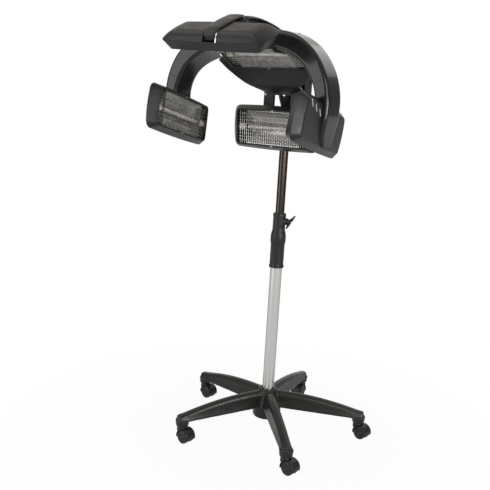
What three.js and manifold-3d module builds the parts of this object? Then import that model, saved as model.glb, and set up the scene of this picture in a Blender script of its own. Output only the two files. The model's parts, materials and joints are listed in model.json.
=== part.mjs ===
// A five-lamp infrared hair colour processor on a rolling stand, in millimetres.
// The origin is on the floor, at the middle of the footprint. +Z is up, the front is -Y and left is -X.
import * as THREE from 'three';
import { mergeVertices } from 'three/addons/utils/BufferGeometryUtils.js';
import Module from 'manifold-3d';

const wasm = await Module();
wasm.setup();

// Clearances
const gap = 0.3;
const runningGap = 0.5;
const overcut = 1;

// Casters
const casterTrails = [80, 78, 0, 80, 80];
const wheelDiameter = 40;
const wheelWidth = 14;
const wheelEdge = 3;
const casterWebWidth = 6;
const hoodWall = 2.2;
const hoodGap = 1.2;
const hoodLowestAngle = 12;
const casterTrail = 16;
const casterBossRadius = 10;
const casterBossHeight = 3;
const stemRadius = 5.5;
const stemLength = 22;
const axleRadius = 4;
const bossFootShare = 0.82;

// Star base
const baseTurn = 42;
const stemCircleRadius = 282;
const baseTipReach = 15;
const stemSocketRadius = 15.5;
const baseArmRise = 15;
const baseArmDepthAtHub = 58;
const baseArmDepthAtTip = 16;
const baseArmArch = 10;
const baseArmWidthAtHub = 42;
const baseArmWidthAtTip = 37;
const baseRidgeWidthAtHub = 30;
const baseRidgeWidthAtTip = 26;
const hubDrop = 12;
const hubFloor = 10;
const hubRadius = 43;
const hubTopRadius = 27;
const hubCollarHeight = 5;
const hubCollarFlare = 4;
const hubFootEdge = 6;
const hubShoulderRise = 10;
const socketTuck = 5;
const baseArmTaper = 1.6;
const baseTipDepthShare = 0.4;
const ridgeCrownShare = 0.22;
const ridgeProfile = [[1, 1], [0.72, 0.25], [0.3, 0]];
const baseArmStops = [0.04, 0.2, 0.35, 0.5, 0.65, 0.8, 0.92];
const baseTipStops = [[0.5, 0.97], [0.25, 0.86], [0, 0.6]];

// Mast
const lowerTubeDiameter = 35;
const lowerTubeWall = 1.8;
const upperTubeDiameter = 26;
const upperTubeWall = 2;
const upperTubeBottom = 287;
const lowerTubeTop = 586.5;
const mastTop = 971.5;
const bushLength = 40;
const bushFloor = 5;

// Clamp collar and wing lever
const sleeveLength = 79;
const sleeveWall = 1.8;
const sleeveFlange = 1.6;
const sleeveFlangeHeight = 6;
const shoulderBulge = 2.2;
const shoulderHeight = 31;
const clampNeckLength = 52;
const clampNeckWall = 4.1;
const collarEdge = 2;
const shoulderRun = 10;
const shoulderFlatShare = 0.5;
const leverDrop = 22;
const leverBossRadius = 10;
const leverBossReach = 27;
const studRadius = 4;
const leverHubRadius = 8;
const leverHubLength = 9;
const wingSpan = 57;
const wingThickness = 7;
const wingDepth = 11;
const wingTurn = 33;
const wingFootShare = 0.6;
const wingRootShare = 0.55;
const wingCrownShare = 0.4;
const wingFootStep = 2;
const wingTipInner = 1;
const wingTipOuter = 4;

// Head socket and neck
const socketBottomRadius = 16.5;
const socketTopRadius = 27;
const socketConeHeight = 37;
const socketHeight = 65;
const socketBoreDepth = 54;
const neckPlateFront = -33;
const neckPlateThickness = 13;
const neckPlateWidth = 118;
const neckPlateTop = 61;
const neckLegBottom = -100;
const neckSlotWidth = 57;
const neckPlateCorner = 8;
const neckSlotDrop = 2;
const neckBossRadius = 10;
const neckBossSpread = 88;

// Lamps
const windowLength = 226;
const windowHeight = 93;
const rimWidth = 5;
const endFlare = 19;
const sideFlare = 10;
const sideBow = 3;
const endBow = 5;
const rimBow = 0.6;
const outlineCorner = 15;
const windowCorner = 6;
const lampWall = 3;
const bezelDepth = 22;
const backDepth = 18;
const backEndInset = 20;
const backSideInset = 13;
const grilleThickness = 2;
const grilleSeat = 2;
const grilleColumns = 8;
const grilleRows = 3;
const grilleBar = 1.6;
const reflectorSheet = 1.2;
const tubeCentreDepth = 15;
const quartzRadius = 5;
const lampHolderRadius = 8.5;
const lampHolderLength = 20;

// Lamp places on the head, measured from the mast axis and the foot of the socket
const sideLampForward = 223;
const sideLampLevel = -33;
const leftLampToe = 3;
const rightLampToe = -1.5;
const sideLampLean = -3;
const sideLampLift = -12.5;
const rearLampForward = 78;
const rearLampLevel = -57;
const rearLampNod = 4;
const crownForward = 155;
const crownLevel = 125;
const crownNod = 62;
const crownBackDepth = 42;
const crownBackInset = 32;
const crownEndFlare = 28;
const visorForward = 350;
const visorLevel = 167;
const visorNod = 115;
const visorSag = 1.5;
const visorWindowLength = 252;
const visorWindowHeight = 70;
const visorBezelDepth = 25;
const visorBackDepth = 22;
const visorBackEndInset = 42;
const visorBackSideInset = 20;
const visorBackCurve = [[0, 0], [0.3, 0.5], [0.62, 0.84], [1, 1]];
const plainBackCurve = [[0, 0], [1, 1]];

// Louvres in the side lamps' backs
const louvreCount = 4;
const louvreLength = 22;
const louvreWidth = 3;
const louvrePitch = 20;
const louvreForward = 55;
const louvreRise = 33;
const louvreSlant = 30;

// Spine, bridge and arms
const beamWidth = 44;
const beamThickness = 8;
const beamPath = [
  [-274, 207], [-235, 211], [-180, 207], [-118, 194], [-60, 171], [-15, 133], [4, 100], [6, 70],
];
const hangerRadius = 8;
const hangerSpread = 26;
const hangerLength = 12;
const spineThickness = 9;
const spineFrontWidth = 58;
const spineRearWidth = 86;
const spineStart = 0.03;
const noseReach = 9;
const noseWidth = 43;
const spineEdgeShare = 0.45;
const spineShoulderShare = 0.9;
const spineCrownShare = 0.72;
const spineEnd = 0.74;
const bridgeFront = -240;
const bridgeRear = -203;
const bridgeWaist = 157;
const bridgeHaunch = 26;
const bridgeEndDrop = 8;
const bridgeEdge = 5;
const armCentreX = 88;
const armCentreZ = 18;
const armInnerReach = 122;
const armInnerRise = 116;
const armDepthAtTip = 39;
const armDepthAtRoot = 58;
const armOuterReach = armInnerReach + armDepthAtTip;
const armOuterRise = armInnerRise + armDepthAtRoot;
const armRootRear = -160;
const armTipFront = -244;
const armTipRear = -170;
const armCorner = 9;
const armSlant = 9;
const armSpreadFrom = 85;
const armSpreadTo = 37;
const crownClearance = 3;
const armSwing = 25;
const armSwingSteps = 3;
const seamAngle = 22;
const seamGapAngle = 0.25;
const swivelRadius = 10;
const swivelLength = 18;
const armEndDrop = 102;
const armEndTaper = 12;
const armEndStops = [[0.3, 0, 1], [0.6, 0.35, 0.98], [0.85, 0.7, 0.86], [1, 1, 0.6]];
const knuckleRadius = 11;
const knuckleLength = 18;
const armPinRadius = 4;
const lampTuck = 4.4;
const sideLampReach = armCentreX + armInnerReach - armEndTaper - lampTuck;

// Visor hinge and strap
const visorPinRadius = 3;
const visorEyeRadius = 6.5;
const visorLugThickness = 8;
const notchWidth = 38;
const notchDepth = 14;
const strapFootWidth = 36;
const strapRearWidth = 50;
const strapThickness = 4;
const strapRise = 4;
const strapEndRadius = 18.5;
const strapEndAngle = 40;

// Neck housing: front edge, back edge and half widths of each section, from the crown down to the neck
const neckSections = [
  { front: [-117, 118], back: [-98, 180], frontHalf: 163, backHalf: 116 },
  { front: [-107.5, 98.5], back: [-90, 165], frontHalf: 143, backHalf: 106 },
  { front: [-97, 79], back: [-72, 140], frontHalf: 118, backHalf: 92 },
  { front: [-84, 60.5], back: [-54, 113], frontHalf: 90, backHalf: 74 },
  { front: [-66, 46], back: [-40, 85], frontHalf: 56, backHalf: 52 },
  { front: [-58, 41], back: [-34, 71], frontHalf: 46, backHalf: 44 },
];
const neckWall = 3;
const neckEdge = 5;

// Control box
const controlWidth = 96;
const controlDepth = 46;
const controlDrop = 29;
const controlHeight = 114;
const controlWall = 2.5;
const controlCorner = 8;
const knobRadius = 14;
const knobHeight = 14;
const knobSpindleRadius = 3;
const knobProfile = [[1, 0], [1, 0.35], [0.82, 0.45], [0.76, 1]];
const knobPointerShare = 0.7;
const knobPointerWidth = 2;
const knobOffset = -22;
const switchWidth = 14;
const switchHeight = 20;
const switchDepth = 9;
const switchOffset = 24;
const switchProud = 2;
const switchFootShare = 0.7;
const controlsLevel = 26;
const inletWidth = 28;
const inletHeight = 20;
const inletDepth = 18;
const inletFlange = 3;
const inletLevel = -30;

// Finishes
const finish = {
  nylon: { color: 0x1b1b1d, roughness: 0.5, metalness: 0 },
  satinPlastic: { color: 0x232326, roughness: 0.42, metalness: 0 },
  glossPlastic: { color: 0x141416, roughness: 0.18, metalness: 0 },
  chrome: { color: 0xd8dadc, roughness: 0.08, metalness: 1 },
  darkChrome: { color: 0x8d8884, roughness: 0.1, metalness: 1 },
  steel: { color: 0xb4b2ae, roughness: 0.3, metalness: 1 },
  reflector: { color: 0xc9c6bf, roughness: 0.2, metalness: 1 },
  quartz: { color: 0xe6dfd2, roughness: 0.1, metalness: 0 },
};

const round = 16;
const mastRound = 24;
const axisX = new THREE.Vector3(1, 0, 0);
const axisY = new THREE.Vector3(0, 1, 0);
const axisZ = new THREE.Vector3(0, 0, 1);
const radians = THREE.MathUtils.degToRad;

function point(x, y, z) {
  return new THREE.Vector3(x, y, z);
}

function piece(name, geometry, look) {
  const mesh = new THREE.Mesh(geometry, new THREE.MeshStandardMaterial(finish[look]));
  mesh.name = name;
  return mesh;
}

// Booleans
function solid(geometry) {
  const bare = geometry.clone();
  bare.deleteAttribute('normal');
  bare.deleteAttribute('uv');
  const merged = mergeVertices(bare);
  const vertProperties = new Float32Array(merged.getAttribute('position').array);
  const triVerts = new Uint32Array(merged.getIndex().array);
  return new wasm.Manifold(new wasm.Mesh({ numProp: 3, vertProperties, triVerts }));
}

function geometryOf(body) {
  const { vertProperties, triVerts } = body.getMesh();
  const geometry = new THREE.BufferGeometry();
  geometry.setAttribute('position', new THREE.BufferAttribute(new Float32Array(vertProperties), 3));
  geometry.setIndex(new THREE.BufferAttribute(new Uint32Array(triVerts), 1));
  return geometry;
}

function join(...geometries) {
  return geometryOf(geometries.map(solid).reduce((whole, next) => whole.add(next)));
}

function cut(geometry, ...tools) {
  return geometryOf(tools.map(solid).reduce((whole, tool) => whole.subtract(tool), solid(geometry)));
}

// Faces out of a closed surface, whichever way its rings were listed
function faceOutwards(geometry) {
  const place = geometry.getAttribute('position');
  const index = geometry.getIndex().array;
  const corner = [0, 1, 2].map(() => new THREE.Vector3());
  let volume = 0;
  for (let i = 0; i < index.length; i += 3) {
    corner.forEach((vertex, k) => vertex.fromBufferAttribute(place, index[i + k]));
    volume += corner[0].dot(corner[1].clone().cross(corner[2]));
  }
  if (volume < 0) {
    for (let i = 0; i < index.length; i += 3) {
      [index[i], index[i + 1]] = [index[i + 1], index[i]];
    }
  }
  return geometry;
}

// Triangles that close a ring of points, turning the same way as the ring
function capTriangles(ring) {
  const normal = new THREE.Vector3();
  ring.forEach((here, k) => normal.add(here.clone().cross(ring[(k + 1) % ring.length])));
  normal.normalize();
  const across = Math.abs(normal.x) < 0.9 ? axisX.clone() : axisY.clone();
  across.addScaledVector(normal, -across.dot(normal)).normalize();
  const along = normal.clone().cross(across);
  const flat = ring.map((here) => new THREE.Vector2(here.dot(across), here.dot(along)));
  return THREE.ShapeUtils.triangulateShape(flat, []).map(([a, b, c]) => {
    const turn = flat[b].clone().sub(flat[a]).cross(flat[c].clone().sub(flat[a]));
    return turn > 0 ? [a, b, c] : [a, c, b];
  });
}

// A closed skin through a row of rings, with its first and last ring filled in
function loft(rings) {
  const count = rings[0].length;
  const index = [];
  for (let i = 0; i + 1 < rings.length; i += 1) {
    for (let k = 0; k < count; k += 1) {
      const next = (k + 1) % count;
      const near = i * count;
      const far = near + count;
      index.push(near + k, near + next, far + k);
      index.push(near + next, far + next, far + k);
    }
  }
  const last = (rings.length - 1) * count;
  capTriangles(rings[0]).forEach(([a, b, c]) => index.push(a, c, b));
  capTriangles(rings.at(-1)).forEach(([a, b, c]) => index.push(last + a, last + b, last + c));
  const geometry = new THREE.BufferGeometry();
  const places = rings.flat().flatMap((vertex) => vertex.toArray());
  geometry.setAttribute('position', new THREE.Float32BufferAttribute(places, 3));
  geometry.setIndex(index);
  return faceOutwards(geometry);
}

function rod(radius, start, end, sides = round) {
  const along = end.clone().sub(start);
  const geometry = new THREE.CylinderGeometry(radius, radius, along.length(), sides);
  const turn = new THREE.Quaternion().setFromUnitVectors(axisY, along.clone().normalize());
  geometry.applyQuaternion(turn);
  return geometry.translate(...start.clone().add(end).multiplyScalar(0.5).toArray());
}

function box(low, high) {
  const size = high.clone().sub(low);
  const middle = low.clone().add(high).multiplyScalar(0.5);
  return new THREE.BoxGeometry(...size.toArray()).translate(...middle.toArray());
}

// A turned piece round the Z axis, from pairs of radius and height that close on themselves or on the axis
function turned(profile, sides = round) {
  const points = profile.map(([radius, height]) => new THREE.Vector2(radius, height));
  if (profile[0][0] > 0) points.push(points[0].clone());
  const geometry = new THREE.LatheGeometry(points, sides).rotateX(Math.PI / 2);
  const bare = new THREE.BufferGeometry();
  bare.setAttribute('position', geometry.getAttribute('position'));
  bare.setIndex(geometry.getIndex());
  return faceOutwards(trim(bare));
}

// Merges shared points and drops the triangles that collapse on the axis
function trim(geometry) {
  const merged = mergeVertices(geometry);
  const index = merged.getIndex().array;
  const kept = [];
  for (let i = 0; i < index.length; i += 3) {
    const [a, b, c] = index.slice(i, i + 3);
    if (a !== b && b !== c && c !== a) kept.push(a, b, c);
  }
  merged.setIndex(kept);
  return merged;
}

// A flat shape drawn in X and Z, as thick as asked along +Y
function plateY(shape, thickness) {
  const geometry = new THREE.ExtrudeGeometry(shape, { depth: thickness, bevelEnabled: false });
  return geometry.rotateX(Math.PI / 2).translate(0, thickness, 0);
}

// A flat shape drawn in Y and Z, as wide as asked along X and centred on it
function plateX(shape, width) {
  const geometry = new THREE.ExtrudeGeometry(shape, { depth: width, bevelEnabled: false });
  geometry.translate(0, 0, -width / 2);
  return geometry.applyMatrix4(new THREE.Matrix4().makeBasis(axisY, axisZ, axisX));
}

function shapeOf(pairs) {
  return new THREE.Shape(pairs.map(([a, b]) => new THREE.Vector2(a, b)));
}

// A rectangle with round corners and sides that bow outwards, as pairs
function bowedOutline(length, height, lengthBow, heightBow, corner) {
  const halfLength = length / 2 - lengthBow;
  const halfHeight = height / 2 - heightBow;
  const limit = Math.min(corner, halfLength * 0.9, halfHeight * 0.9);
  const pairs = [];
  const turns = [[1, 1], [-1, 1], [-1, -1], [1, -1]];
  turns.forEach(([signX, signZ], quarter) => {
    for (let step = 0; step <= 3; step += 1) {
      const angle = (quarter + step / 3) * Math.PI / 2;
      const x = signX * (halfLength - limit) + limit * Math.cos(angle);
      const z = signZ * (halfHeight - limit) + limit * Math.sin(angle);
      pairs.push([x, z]);
    }
    const isLongSide = quarter % 2 === 0;
    if (isLongSide && heightBow > 0) {
      [0.5, 0, -0.5].forEach((stop) => pairs.push([signX * stop * (halfLength - limit), signZ * halfHeight]));
    }
    if (!isLongSide && lengthBow > 0) {
      pairs.push([signX * halfLength, 0]);
    }
  });
  return pairs.map(([x, z]) => [
    x * (1 + (lengthBow / halfLength) * (1 - (z / halfHeight) ** 2)),
    z * (1 + (heightBow / halfHeight) * (1 - (x / halfLength) ** 2)),
  ]);
}

function ringAtY(pairs, y) {
  return pairs.map(([x, z]) => point(x, y, z));
}

// Lamp sizes that the common housing and its two variants share
function lampForm({ length = windowLength, height = windowHeight, flare = endFlare, front = bezelDepth,
  back = backDepth, endInset = backEndInset, sideInset = backSideInset, curve = plainBackCurve } = {}) {
  const rimLength = length + 2 * rimWidth;
  const rimHeight = height + 2 * rimWidth;
  const fullLength = rimLength + 2 * flare;
  const fullHeight = rimHeight + 2 * sideFlare;
  return {
    length,
    height,
    front,
    back,
    rimLength,
    rimHeight,
    fullLength,
    fullHeight,
    endInset,
    sideInset,
    curve,
    backHeight: fullHeight - 2 * sideInset,
  };
}

function housingOutline(length, height, shrink = 0) {
  return bowedOutline(length - 2 * shrink, height - 2 * shrink, endBow, sideBow, outlineCorner - shrink);
}

function rimOutline(form, shrink = 0) {
  const corner = windowCorner + rimWidth - shrink;
  return bowedOutline(form.rimLength - 2 * shrink, form.rimHeight - 2 * shrink, rimBow, rimBow, corner);
}

// Ring of a housing's back, a share of the way in from its seam and a share of its depth up
function backRing(form, [inwards, rise], shrink, seam, end) {
  const length = form.fullLength - 2 * inwards * form.endInset;
  const height = form.fullHeight - 2 * inwards * form.sideInset;
  return ringAtY(housingOutline(length, height, shrink), THREE.MathUtils.lerp(seam, end, rise));
}

// Outer body of a lamp housing, grown by a clearance, as a tool that clears its neighbours
function lampEnvelope(form, clear) {
  const end = form.front + form.back + clear;
  const back = form.curve.map((stop) => backRing(form, stop, -clear, form.front, end)).reverse();
  return loft([...back, ringAtY(rimOutline(form, -clear), -clear)]);
}

function lampShell(form) {
  const seam = form.front + gap;
  const end = form.front + form.back;
  const outside = form.curve.map((stop) => backRing(form, stop, 0, seam, end)).reverse();
  const inside = form.curve.map((stop) => backRing(form, stop, lampWall, seam, end - lampWall));
  return loft([...outside, ...inside]);
}

function lampBezel(form) {
  const cup = loft([
    ringAtY(rimOutline(form, rimBow), lampWall),
    ringAtY(housingOutline(form.fullLength, form.fullHeight, lampWall), form.front),
    ringAtY(housingOutline(form.fullLength, form.fullHeight), form.front),
    ringAtY(rimOutline(form), 0),
  ]);
  const opening = bowedOutline(form.length, form.height, 0, 0, windowCorner);
  return cut(cup, plateY(shapeOf(opening), 2 * lampWall).translate(0, -lampWall / 2, 0));
}

function lampGrille(form) {
  const length = form.length + 2 * grilleSeat;
  const height = form.height + 2 * grilleSeat;
  const plate = plateY(shapeOf(bowedOutline(length, height, 0, 0, windowCorner + grilleSeat)), grilleThickness);
  const columnPitch = form.length / grilleColumns;
  const rowPitch = form.height / grilleRows;
  const hole = new THREE.BoxGeometry(columnPitch - grilleBar, 3 * grilleThickness, rowPitch - grilleBar);
  const holes = [];
  for (let column = 0; column < grilleColumns; column += 1) {
    for (let row = 0; row < grilleRows; row += 1) {
      const x = -form.length / 2 + (column + 0.5) * columnPitch;
      const z = -form.height / 2 + (row + 0.5) * rowPitch;
      holes.push(hole.clone().translate(x, 0, z));
    }
  }
  return cut(plate, ...holes).translate(0, lampWall + gap, 0);
}

function lampReflector(form) {
  const mouth = lampWall + grilleThickness + 2 * gap;
  const depth = tubeCentreDepth + lampHolderRadius + gap - mouth;
  const half = form.height / 2 - rimWidth / 2;
  const lip = form.height / 2 + grilleSeat;
  const steps = 8;
  const trough = (offset, reach) => Array.from({ length: steps + 1 }, (unused, k) => {
    const share = (2 * k) / steps - 1;
    return [mouth + offset + depth * (1 - share ** 2), share * reach];
  });
  const inner = trough(0, half);
  const outer = trough(reflectorSheet, half + reflectorSheet / 2).reverse();
  const lipBack = mouth + reflectorSheet;
  const profile = [[mouth, -lip], ...inner, [mouth, lip], [lipBack, lip], ...outer, [lipBack, -lip]];
  return plateX(shapeOf(profile), form.length);
}

function lampTube(form) {
  const half = form.length / 2 - grilleBar;
  const inner = half - lampHolderLength;
  const profile = [
    [0, -half], [lampHolderRadius, -half], [lampHolderRadius, -inner], [quartzRadius, -inner],
    [quartzRadius, inner], [lampHolderRadius, inner], [lampHolderRadius, half], [0, half],
  ];
  return turned(profile, 12).rotateY(Math.PI / 2).translate(0, tubeCentreDepth, 0);
}

function lampPieces(name, form, shell = lampShell(form)) {
  return [
    piece(`${name}_shell`, shell, 'satinPlastic'),
    piece(`${name}_bezel`, lampBezel(form), 'satinPlastic'),
    piece(`${name}_grille`, lampGrille(form), 'steel'),
    piece(`${name}_reflector`, lampReflector(form), 'reflector'),
    piece(`${name}_quartz_tube`, lampTube(form), 'quartz'),
  ];
}

// Places of the five lamps on the head. A lamp is drawn with its face to -Y.
function lampPlace(position, nod, sag = 0) {
  const place = new THREE.Group();
  place.position.copy(position);
  place.rotation.set(radians(nod), 0, -radians(sag));
  place.updateMatrix();
  return place;
}

function sideLampPlace(side) {
  const place = new THREE.Group();
  const toe = side < 0 ? leftLampToe : rightLampToe;
  place.position.set(side * sideLampReach, -sideLampForward, sideLampLevel);
  place.rotation.set(radians(sideLampLift), -side * radians(sideLampLean), -side * radians(toe), 'ZYX');
  const inward = new THREE.Quaternion().setFromAxisAngle(axisZ, -side * Math.PI / 2);
  place.quaternion.multiply(inward);
  place.updateMatrix();
  return place;
}

const standardForm = lampForm();
const crownForm = lampForm({ flare: crownEndFlare, back: crownBackDepth, endInset: crownBackInset,
  sideInset: crownBackInset });
const visorForm = lampForm({ length: visorWindowLength, height: visorWindowHeight, front: visorBezelDepth,
  back: visorBackDepth, endInset: visorBackEndInset, sideInset: visorBackSideInset, curve: visorBackCurve });
const rearPlace = lampPlace(point(0, -rearLampForward, rearLampLevel), rearLampNod);
const crownPlace = lampPlace(point(0, -crownForward, crownLevel), crownNod);
const visorFace = point(0, -visorBezelDepth, 0).applyAxisAngle(axisX, radians(visorNod));
const visorPlace = lampPlace(point(0, -visorForward, visorLevel).add(visorFace), visorNod, visorSag);

// Star base
const stemSeat = wheelDiameter + hoodGap + hoodWall + casterBossHeight + gap;
const baseArmBottom = stemSeat + baseArmRise;
const hubBottom = stemSeat - hubDrop;
const hubTop = baseArmBottom + baseArmDepthAtHub + hubCollarHeight;
const lowerTubeRadius = lowerTubeDiameter / 2;
const upperTubeRadius = upperTubeDiameter / 2;
const casterAngles = casterTrails.map((unused, k) => radians(baseTurn + (360 / casterTrails.length) * k));

function outwards(angle, radius, height = 0) {
  return point(radius * Math.sin(angle), -radius * Math.cos(angle), height);
}

function baseArmSection(angle, radius, spread = 1) {
  const share = Math.min(radius / stemCircleRadius, 1);
  const halfFoot = (spread * THREE.MathUtils.lerp(baseArmWidthAtHub, baseArmWidthAtTip, share)) / 2;
  const halfRidge = (spread * THREE.MathUtils.lerp(baseRidgeWidthAtHub, baseRidgeWidthAtTip, share)) / 2;
  const depth = THREE.MathUtils.lerp(baseArmDepthAtHub, baseArmDepthAtTip, share ** baseArmTaper);
  const bottom = baseArmBottom + baseArmArch * (1 - share);
  const top = baseArmBottom + depth * THREE.MathUtils.lerp(baseTipDepthShare, 1, spread);
  const crown = (top - bottom) * ridgeCrownShare;
  const right = ridgeProfile.map(([across, drop]) => [halfRidge * across, top - crown * drop]);
  const left = right.map(([across, height]) => [-across, height]).reverse();
  const section = [[-halfFoot, bottom], [halfFoot, bottom], ...right, ...left];
  const middle = outwards(angle, radius);
  const aside = point(Math.cos(angle), Math.sin(angle), 0);
  return section.map(([across, height]) => middle.clone().addScaledVector(aside, across).setZ(height));
}

function baseArm(angle) {
  const tip = stemCircleRadius + baseTipReach;
  const rings = baseArmStops.map((share) => baseArmSection(angle, share * tip));
  baseTipStops.forEach(([back, spread]) => {
    rings.push(baseArmSection(angle, tip - back * baseTipReach, spread));
  });
  return loft(rings);
}

function starBase() {
  const hub = turned([
    [0, hubBottom], [hubRadius - hubFootEdge, hubBottom], [hubRadius, hubBottom + hubFootEdge],
    [hubRadius, baseArmBottom + hubShoulderRise], [hubTopRadius + hubCollarFlare, hubTop - hubCollarHeight],
    [hubTopRadius, hubTop], [0, hubTop],
  ], mastRound);
  const sockets = casterAngles.map((angle) => rod(stemSocketRadius,
    outwards(angle, stemCircleRadius, stemSeat),
    outwards(angle, stemCircleRadius, baseArmBottom + socketTuck)));
  const stemHoles = casterAngles.map((angle) => rod(stemRadius + runningGap,
    outwards(angle, stemCircleRadius, stemSeat - overcut),
    outwards(angle, stemCircleRadius, stemSeat + stemLength + overcut)));
  const mastHole = rod(lowerTubeRadius + gap, point(0, 0, hubBottom + hubFloor),
    point(0, 0, hubTop + overcut), mastRound);
  return cut(join(hub, ...casterAngles.map(baseArm), ...sockets), ...stemHoles, mastHole);
}

// A twin-wheel caster drawn with its stem on the Z axis and its axle trailing towards -Y
const wheelRadius = wheelDiameter / 2;
const axleHeight = wheelRadius;
const hoodInner = wheelRadius + hoodGap;
const hoodOuter = hoodInner + hoodWall;
const hoodWidth = casterWebWidth + 2 * wheelWidth + 2 * runningGap;

function casterHood() {
  const arch = new THREE.Shape();
  const low = radians(-hoodLowestAngle);
  const high = radians(180 + hoodLowestAngle);
  arch.absarc(0, 0, hoodOuter, low, high, false);
  arch.absarc(0, 0, hoodInner, high, low, true);
  const options = { depth: hoodWidth, bevelEnabled: false, curveSegments: 7 };
  const hood = new THREE.ExtrudeGeometry(arch, options).translate(0, 0, -hoodWidth / 2);
  hood.applyMatrix4(new THREE.Matrix4().makeBasis(axisY, axisZ, axisX));
  hood.translate(0, -casterTrail, axleHeight);
  const halfWeb = casterWebWidth / 2;
  const web = rod(hoodInner + hoodWall / 2, point(-halfWeb, -casterTrail, axleHeight),
    point(halfWeb, -casterTrail, axleHeight));
  const hoodTop = axleHeight + hoodOuter;
  const floorCut = box(point(-hoodWidth, -hoodOuter - casterTrail, -hoodOuter),
    point(hoodWidth, hoodOuter, axleHeight - wheelRadius / 2));
  const bossFoot = axleHeight + hoodInner * bossFootShare;
  const boss = rod(casterBossRadius, point(0, 0, bossFoot), point(0, 0, hoodTop + casterBossHeight));
  const stem = rod(stemRadius, point(0, 0, hoodTop), point(0, 0, stemSeat + stemLength));
  const axleHole = rod(axleRadius + runningGap, point(-hoodWidth, -casterTrail, axleHeight),
    point(hoodWidth, -casterTrail, axleHeight));
  const wheelRoom = [-1, 1].map((side) => rod(hoodInner, point(side * halfWeb, -casterTrail, axleHeight),
    point(side * hoodWidth, -casterTrail, axleHeight)));
  const body = cut(join(hood, boss), ...wheelRoom);
  return cut(join(body, web, stem), axleHole, floorCut);
}

function casterWheels() {
  const near = casterWebWidth / 2 + runningGap;
  const far = near + wheelWidth;
  const wheel = turned([
    [0, near], [wheelRadius, near], [wheelRadius, far - wheelEdge], [wheelRadius - wheelEdge, far], [0, far],
  ], mastRound).rotateZ(Math.PI / mastRound);
  const other = wheel.clone().rotateY(Math.PI);
  const axle = rod(axleRadius, point(0, 0, -near - overcut), point(0, 0, near + overcut));
  const pair = join(wheel, other, axle);
  return pair.rotateY(Math.PI / 2).translate(0, -casterTrail, axleHeight);
}

// Clamp collar, from the sleeve on the lower tube up to the neck on the upper tube
const collarBottom = lowerTubeTop - sleeveLength;
const sleeveRadius = lowerTubeRadius + gap + sleeveWall;
const clampNeckRadius = upperTubeRadius + runningGap + clampNeckWall;
const clampNeckBottom = lowerTubeTop + shoulderHeight;
const collarTop = clampNeckBottom + clampNeckLength;
const leverLevel = collarTop - leverDrop;

function clampCollar() {
  const bulgeRadius = sleeveRadius + shoulderBulge;
  const flangeRadius = sleeveRadius + sleeveFlange;
  const flangeTop = collarBottom + sleeveFlangeHeight;
  const collar = turned([
    [lowerTubeRadius + gap, collarBottom], [flangeRadius, collarBottom], [flangeRadius, flangeTop],
    [sleeveRadius, flangeTop + collarEdge], [sleeveRadius, lowerTubeTop - shoulderRun],
    [bulgeRadius, lowerTubeTop],
    [bulgeRadius, lowerTubeTop + shoulderHeight * shoulderFlatShare], [clampNeckRadius, clampNeckBottom],
    [clampNeckRadius, collarTop - collarEdge], [clampNeckRadius - collarEdge, collarTop],
    [upperTubeRadius + runningGap, collarTop], [upperTubeRadius + runningGap, lowerTubeTop + gap],
    [lowerTubeRadius + gap, lowerTubeTop + gap],
  ], mastRound);
  const boss = rod(leverBossRadius, point(clampNeckRadius - collarEdge, 0, leverLevel),
    point(leverBossReach, 0, leverLevel));
  const studHole = rod(studRadius + gap, point(0, 0, leverLevel),
    point(leverBossReach + overcut, 0, leverLevel));
  const tubeRoom = rod(upperTubeRadius + runningGap, point(0, 0, leverLevel - leverBossRadius),
    point(0, 0, leverLevel + leverBossRadius), mastRound);
  return cut(join(collar, cut(boss, tubeRoom)), studHole);
}

// The lever is drawn on the X axis, with its stud pointing at the mast
function clampLever() {
  const hubStart = leverBossReach + runningGap;
  const hubEnd = hubStart + leverHubLength;
  const stud = rod(studRadius, point(upperTubeRadius + runningGap, 0, 0), point(hubStart + overcut, 0, 0));
  const hub = rod(leverHubRadius, point(hubStart, 0, 0), point(hubEnd, 0, 0));
  const half = wingSpan / 2;
  const foot = hubEnd - wingDepth * wingFootShare;
  const lower = [
    [foot, -leverHubRadius], [foot + wingFootStep, -half * wingRootShare], [hubEnd - wingTipInner, -half],
    [hubEnd + wingTipOuter, -half], [foot + wingDepth, -half * wingCrownShare],
  ];
  const blade = shapeOf([
    ...lower, ...lower.map(([reach, across]) => [reach, -across]).reverse(),
  ]);
  const wing = new THREE.ExtrudeGeometry(blade, { depth: wingThickness, bevelEnabled: false });
  wing.translate(0, 0, -wingThickness / 2).rotateX(radians(wingTurn));
  return join(stud, hub, wing).translate(0, 0, leverLevel);
}

function tubePiece(radius, wall, bottom, top) {
  return turned([[radius - wall, bottom], [radius, bottom], [radius, top], [radius - wall, top]], mastRound);
}

function guideBush() {
  const outer = lowerTubeRadius - lowerTubeWall - runningGap;
  const inner = upperTubeRadius + gap;
  const lip = upperTubeRadius - upperTubeWall;
  return turned([
    [lip, upperTubeBottom - gap - bushFloor], [outer, upperTubeBottom - gap - bushFloor],
    [outer, upperTubeBottom + bushLength], [inner, upperTubeBottom + bushLength],
    [inner, upperTubeBottom - gap], [lip, upperTubeBottom - gap],
  ], mastRound);
}

// Socket and neck
const tubeInSocket = socketBoreDepth - gap;

function mastSocket() {
  const bore = upperTubeRadius + runningGap;
  return turned([
    [bore, 0], [socketBottomRadius, 0], [socketTopRadius, socketConeHeight], [socketTopRadius, socketHeight],
    [0, socketHeight], [0, socketBoreDepth], [bore, socketBoreDepth],
  ], mastRound);
}

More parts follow.
